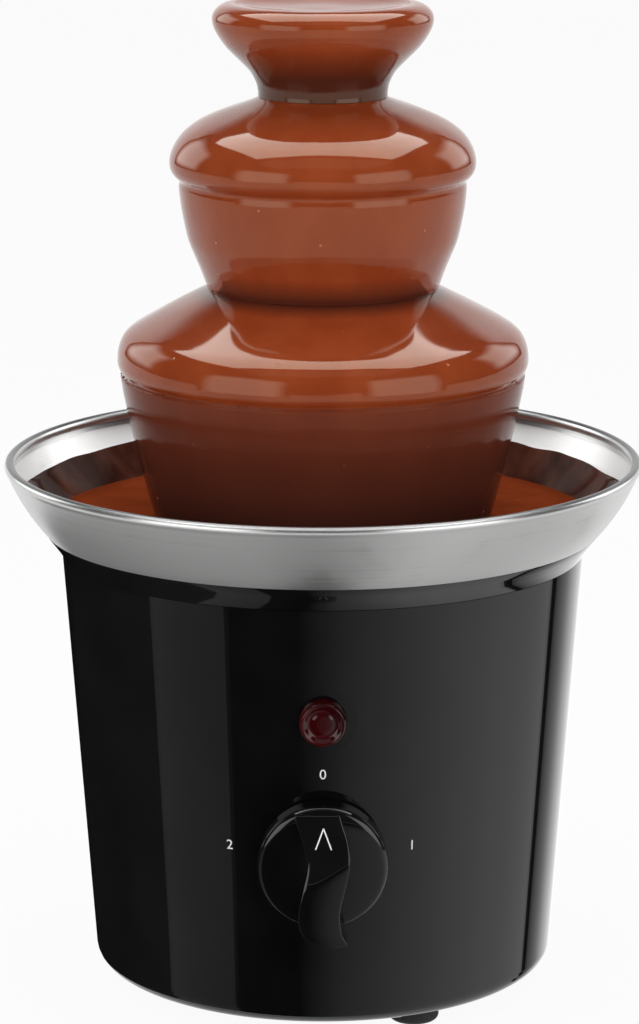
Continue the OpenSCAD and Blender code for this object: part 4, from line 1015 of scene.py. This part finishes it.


# Upper dome's chocolate: the same film and curtain, smaller, falling on the lower dome. Behind a ragged
# edge its foot is duller, and painted shade makes it darker.
UPPER_OUTLINE = (
    (20.2, 297.0), (22.6, 295.8), (26.0, 294.5), (30.0, 293.1), (34.0, 291.5), (38.0, 289.7),
    (41.5, 287.8), (44.0, 286.0), (46.0, 284.2), (47.8, 281.9), (49.2, 279.2), (49.9, 276.6),
    (49.9, 274.2), (49.3, 272.4), (48.3, 271.1), (47.2, 270.1), (46.8, 269.0), (46.9, 266.6),
    (46.3, 261.0), (45.2, 255.0), (44.0, 250.0), (42.1, 245.2), (40.1, 240.4), (38.7, 236.6),
    (37.8, 234.2),
)
LANDING_SHADE_FROM = 243 * MM
LANDING_SHADE_TO = 235.5 * MM
LANDING_TOP = 249 * MM
LANDING_FALL = 12.4 * MM
LANDING_HALF = math.radians(60)
LANDING_RAGGED = 1.6 * MM
LANDING_GRAIN = 5 * MM

shape = spun(smooth_outline(UPPER_OUTLINE))
face_up(shape)
ripple(shape, depth=0.2 * MM, spread=14, tall=22)
thicken(shape, FILM_THICK)
upper_film = add_object("chocolate_upper_film", shape)
# The curtain's foot is painted darker towards the lower dome: painted shade.
landing_chocolate = chocolate_finish(
    "landing chocolate", COCOA, COCOA_PALE, gleam=0.06,
    shade_tone=LANDING_SHADE, shade_from=LANDING_SHADE_FROM, shade_to=LANDING_SHADE_TO,
)
upper_film.data.materials.append(chocolate)
upper_film.data.materials.append(landing_chocolate)
for face in upper_film.data.polygons:
    turn = math.atan2(face.center.x, -face.center.y) / LANDING_HALF
    uneven = noise.noise(face.center / LANDING_GRAIN) * LANDING_RAGGED
    edge = LANDING_TOP - LANDING_FALL * turn**2 + uneven
    face.material_index = 1 if face.center.z < edge else 0
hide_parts("chocolate_upper")
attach(upper_film, "upper_dome")


# Crown's chocolate: it wells up out of the tube, fills the cup to a shallow dish and runs over the
# rim and down the cone to the neck.
CROWN_OUTLINE = (
    (0.0, 325.2), (12.0, 325.2), (22.0, 325.9), (28.4, 326.9), (32.2, 326.4), (34.8, 324.6),
    (35.9, 322.0), (35.0, 318.2), (31.7, 313.2), (27.0, 308.5), (23.7, 305.0), (21.8, 301.4),
    (21.2, 298.8), (21.1, 297.6), (21.1, 296.75),
)
CUP_R = 28 * MM
CUP_LOW = 324.5 * MM
# Painted shade darkens the film under the rim and down the cone to the neck.
CROWN_SHADE = (0.085, 0.021, 0.012, 1)
CROWN_SHADE_FROM = 316 * MM
CROWN_SHADE_TO = 304 * MM

shape = spun(smooth_outline(CROWN_OUTLINE))
face_up(shape)
ripple(shape, depth=0.15 * MM, spread=16, tall=18)
thicken(shape, FILM_THICK)
crown_film = add_object("chocolate_crown_film", shape)
crown_chocolate = chocolate_finish(
    "crown chocolate", COCOA, COCOA_PALE, gleam=0.5,
    shade_tone=CROWN_SHADE, shade_from=CROWN_SHADE_FROM, shade_to=CROWN_SHADE_TO,
)
crown_film.data.materials.append(crown_chocolate)
crown_film.data.materials.append(landing_chocolate)
for face in crown_film.data.polygons:
    in_cup = math.hypot(face.center.x, face.center.y) < CUP_R and face.center.z > CUP_LOW
    face.material_index = 1 if in_cup else 0
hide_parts("chocolate_crown")
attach(crown_film, "crown_cup")


# Rotary switch behind the wall: a black moulded body with a plated bush, nut and shaft, on which
# the knob is pressed.
dress(matt_plastic, "switch_body", "lamp_body")
dress(zinc, "switch_nut", "switch_shaft")


# Knob: a gloss black moulding with a slightly domed disc on a skirt and a raised grip that bends in
# an S from its pointer down to a tail past the disc's edge. It is pressed on the switch's shaft.
knob_joint = next(joint for joint in frame["joints"] if joint["name"] == "knob_turn")
wall_out = Vector(knob_joint["axis"]).normalized()
wall_right = Vector((1, 0, 0))
wall_up = wall_out.cross(wall_right)
DISC_OUTLINE = (
    (0.0, 10.9), (5.0, 10.75), (10.0, 10.3), (15.0, 9.5), (18.2, 8.8), (19.6, 8.3), (20.4, 7.5),
    (20.7, 6.4), (20.7, 3.8), (20.7, 1.2),
)
GRIP_ROOT = 7.5 * MM
GRIP_TOP = 18.4 * MM
GRIP_TAIL = -21.6 * MM
GRIP_SIDES = (
    (18.4, -9.0, 5.4), (16.0, -8.5, 6.0), (10.0, -6.3, 7.9), (3.0, -4.8, 8.6), (-5.0, -6.3, 6.9),
    (-12.0, -7.6, 5.4), (-18.0, -7.4, 5.9), (-21.6, -5.8, 7.9),
)
GRIP_HIGH = 17.4 * MM
GRIP_LOW = 9.6 * MM
GRIP_CROWN = 0.9 * MM
GRIP_ROUND = 0.5 * MM
TAIL_BOW = 1.7 * MM
TAIL_ASIDE = 0.35
TAIL_QUICK = 6
GRIP_COLUMNS = 12
GRIP_ROWS = 56
GRIP_EDGE = 0.9


def on_wall(height):
    """The frame of the wall at that height: right, up and outwards, from the wall's surface."""
    rise = height - knob_joint["pos_m"][2]
    foot = Vector(knob_joint["pos_m"]) + wall_up * (rise / wall_up.z)
    turn = Matrix((wall_right, wall_up, wall_out)).transposed().to_4x4()
    return Matrix.Translation(foot) @ turn


def grip_sides(y):
    """Where the grip's middle line runs at that height on the disc, and its half width there."""
    rows = GRIP_SIDES
    i = next((k for k in range(len(rows) - 2) if y / MM >= rows[k + 1][0]), len(rows) - 2)
    span = rows[i + 1][0] - rows[i][0]
    t = (y / MM - rows[i][0]) / span
    before, after = rows[max(i - 1, 0)], rows[min(i + 2, len(rows) - 1)]
    sides = []
    for side in (1, 2):
        start, stop = rows[i][side], rows[i + 1][side]
        lean = (stop - before[side]) / (rows[i + 1][0] - before[0]) * span
        turn = (after[side] - start) / (after[0] - rows[i][0]) * span
        bend = t * (1 - t) * ((1 - t) * (lean - stop + start) + t * (stop - start - turn))
        sides.append(start + (stop - start) * t + bend)
    return (sides[0] + sides[1]) / 2 * MM, (sides[1] - sides[0]) / 2 * MM


def grip_height(along, across):
    """How far the grip's top stands out, from pointer to tail and from its middle to its sides."""
    rise = GRIP_LOW + (GRIP_HIGH - GRIP_LOW) * math.sin(math.pi / 2 * along)
    return rise - GRIP_CROWN * across**2 * math.sin(math.pi / 2 * along)


knob_frame = on_wall(knob_joint["pos_m"][2])
shape = spun(smooth_outline(DISC_OUTLINE))
back = [edge for edge in shape.edges if edge.is_boundary]
bmesh.ops.contextual_create(shape, geom=back)
bmesh.ops.recalc_face_normals(shape, faces=shape.faces)

grip = bmesh.new()
bmesh.ops.create_grid(grip, x_segments=GRIP_COLUMNS, y_segments=GRIP_ROWS, size=1)
for vert in grip.verts:
    across, along = vert.co.x, (1 - vert.co.y) / 2
    y = GRIP_TOP + (GRIP_TAIL - GRIP_TOP) * along
    middle, half = grip_sides(y)
    y -= TAIL_BOW * along**TAIL_QUICK * (1 - (across - TAIL_ASIDE) ** 2)
    vert.co = (middle + across * half, y, grip_height(along, across))
side = bmesh.ops.extrude_face_region(grip, geom=grip.faces[:])["geom"]
for vert in (item for item in side if isinstance(item, bmesh.types.BMVert)):
    vert.co.z = GRIP_ROOT
bmesh.ops.recalc_face_normals(grip, faces=grip.faces)
sharp = [edge for edge in grip.edges if edge.is_manifold and edge.calc_face_angle() > GRIP_EDGE]
bmesh.ops.bevel(
    grip, geom=sharp, offset=GRIP_ROUND, offset_type="OFFSET", segments=3, profile=0.5,
    affect="EDGES", material=-1, clamp_overlap=True,
)
part = bpy.data.meshes.new("grip")
grip.to_mesh(part)
grip.free()
shape.from_mesh(part)
bpy.data.meshes.remove(part)
bmesh.ops.transform(shape, matrix=knob_frame, verts=shape.verts)
knob = add_object("knob_moulding", shape)
knob.data.materials.append(gloss_plastic)
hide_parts("knob")
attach(knob, "control_knob")


# Marks: a thin white pointer printed on the knob's grip, and plain numbers printed on the wall at
# its three places.
PRINT_WHITE = (0.95, 0.95, 0.94, 1)
PRINT_WORN = (0.84, 0.84, 0.83, 1)
PRINT_THICK = 0.05 * MM
POINTER_TIP = (0.2, 14.6)
POINTER_FEET = ((-2.3, 8.2), (2.7, 8.2))
POINTER_W = 0.42
POINTER_ROWS = 14
NUMERAL_SIZE = 4.6 * MM
NUMERALS = (("0", 0, 92.2 * MM), ("1", 20.6, 66.8 * MM), ("2", -21.6, 66.8 * MM))

white_print = grained(
    "white print", PRINT_WORN, PRINT_WHITE, scale=900, smoothest=0.45, roughest=0.6, bump=0.1
)
shape = bmesh.new()
for foot in POINTER_FEET:
    along = Vector(POINTER_TIP) - Vector(foot)
    aside = Vector((along.y, -along.x)).normalized() * POINTER_W / 2
    made = bmesh.ops.create_grid(shape, x_segments=1, y_segments=POINTER_ROWS, size=1)["verts"]
    for vert in made:
        spot = Vector(foot) + along * (vert.co.y + 1) / 2 + aside * vert.co.x
        rest = (GRIP_TOP - spot.y * MM) / (GRIP_TOP - GRIP_TAIL)
        middle, half = grip_sides(spot.y * MM)
        across = (spot.x * MM - middle) / half
        vert.co = (spot.x * MM, spot.y * MM, grip_height(rest, across) + PRINT_THICK)
thicken(shape, 2 * PRINT_THICK)
bmesh.ops.recalc_face_normals(shape, faces=shape.faces)
bmesh.ops.transform(shape, matrix=knob_frame, verts=shape.verts)
pointer = add_object("knob_pointer", shape, smooth=False)
pointer.data.materials.append(white_print)
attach(pointer, "control_knob")
for digit, turn, height in NUMERALS:
    letter = bpy.data.curves.new("numeral", "FONT")
    letter.body = digit
    letter.size = NUMERAL_SIZE
    letter.align_x = "CENTER"
    letter.align_y = "CENTER"
    letter.extrude = PRINT_THICK
    holder = bpy.data.objects.new("numeral", letter)
    flat = bpy.data.meshes.new_from_object(holder)
    bpy.data.objects.remove(holder)
    shape = bmesh.new()
    shape.from_mesh(flat)
    bpy.data.meshes.remove(flat)
    bmesh.ops.remove_doubles(shape, verts=shape.verts, dist=0.001 * MM)
    place = Matrix.Rotation(math.radians(turn), 4, "Z") @ on_wall(height)
    bmesh.ops.transform(shape, matrix=place, verts=shape.verts)
    numeral = add_object("numeral_" + digit, shape, smooth=False)
    numeral.data.materials.append(white_print)
    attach(numeral, "base_unit")


# Indicator lamp: a neon bulb in a black holder behind a turned lens of dark red plastic, with a
# thick rim round a shallow dish. A nut clamps it from inside the wall.
LENS_RED = (0.085, 0.0028, 0.005, 1)
LENS_DEEP = (0.03, 0.001, 0.0016, 1)
BULB_WARM = (0.9, 0.62, 0.42, 1)
BULB_PALE = (0.95, 0.75, 0.6, 1)
LENS_OUTLINE = (
    (0.0, 3.4), (1.6, 3.37), (2.8, 3.25), (3.5, 3.0), (4.0, 2.85), (4.7, 2.95), (5.5, 3.6), (6.1, 4.1),
    (6.6, 4.25), (7.0, 4.0), (7.35, 3.4), (7.55, 2.6), (7.6, 1.2), (7.6, 0.1),
)
LENS_WALL = 1.1 * MM

lamp_low, lamp_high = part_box("lamp_lens")
lens_plastic = grained(
    "red lens", LENS_DEEP, LENS_RED, scale=300, smoothest=0.0, roughest=0.0, bump=0.02,
    Transmission_Weight=0.4, IOR=1.52, Specular_IOR_Level=0.25,
)
bulb_glass = grained(
    "bulb glass", BULB_WARM, BULB_PALE, scale=300, smoothest=0.04, roughest=0.08, bump=0.02,
    Transmission_Weight=0.8, IOR=1.5,
)
shape = spun(smooth_outline(LENS_OUTLINE))
face_up(shape)
thicken(shape, LENS_WALL)
lens_frame = on_wall((lamp_low[2] + lamp_high[2]) / 2)
bmesh.ops.transform(shape, matrix=lens_frame, verts=shape.verts)
lamp_lens = add_object("indicator_lens", shape)
lamp_lens.data.materials.append(lens_plastic)
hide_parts("lamp_lens")
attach(lamp_lens, "base_unit")
dress(bulb_glass, "lamp_bulb")
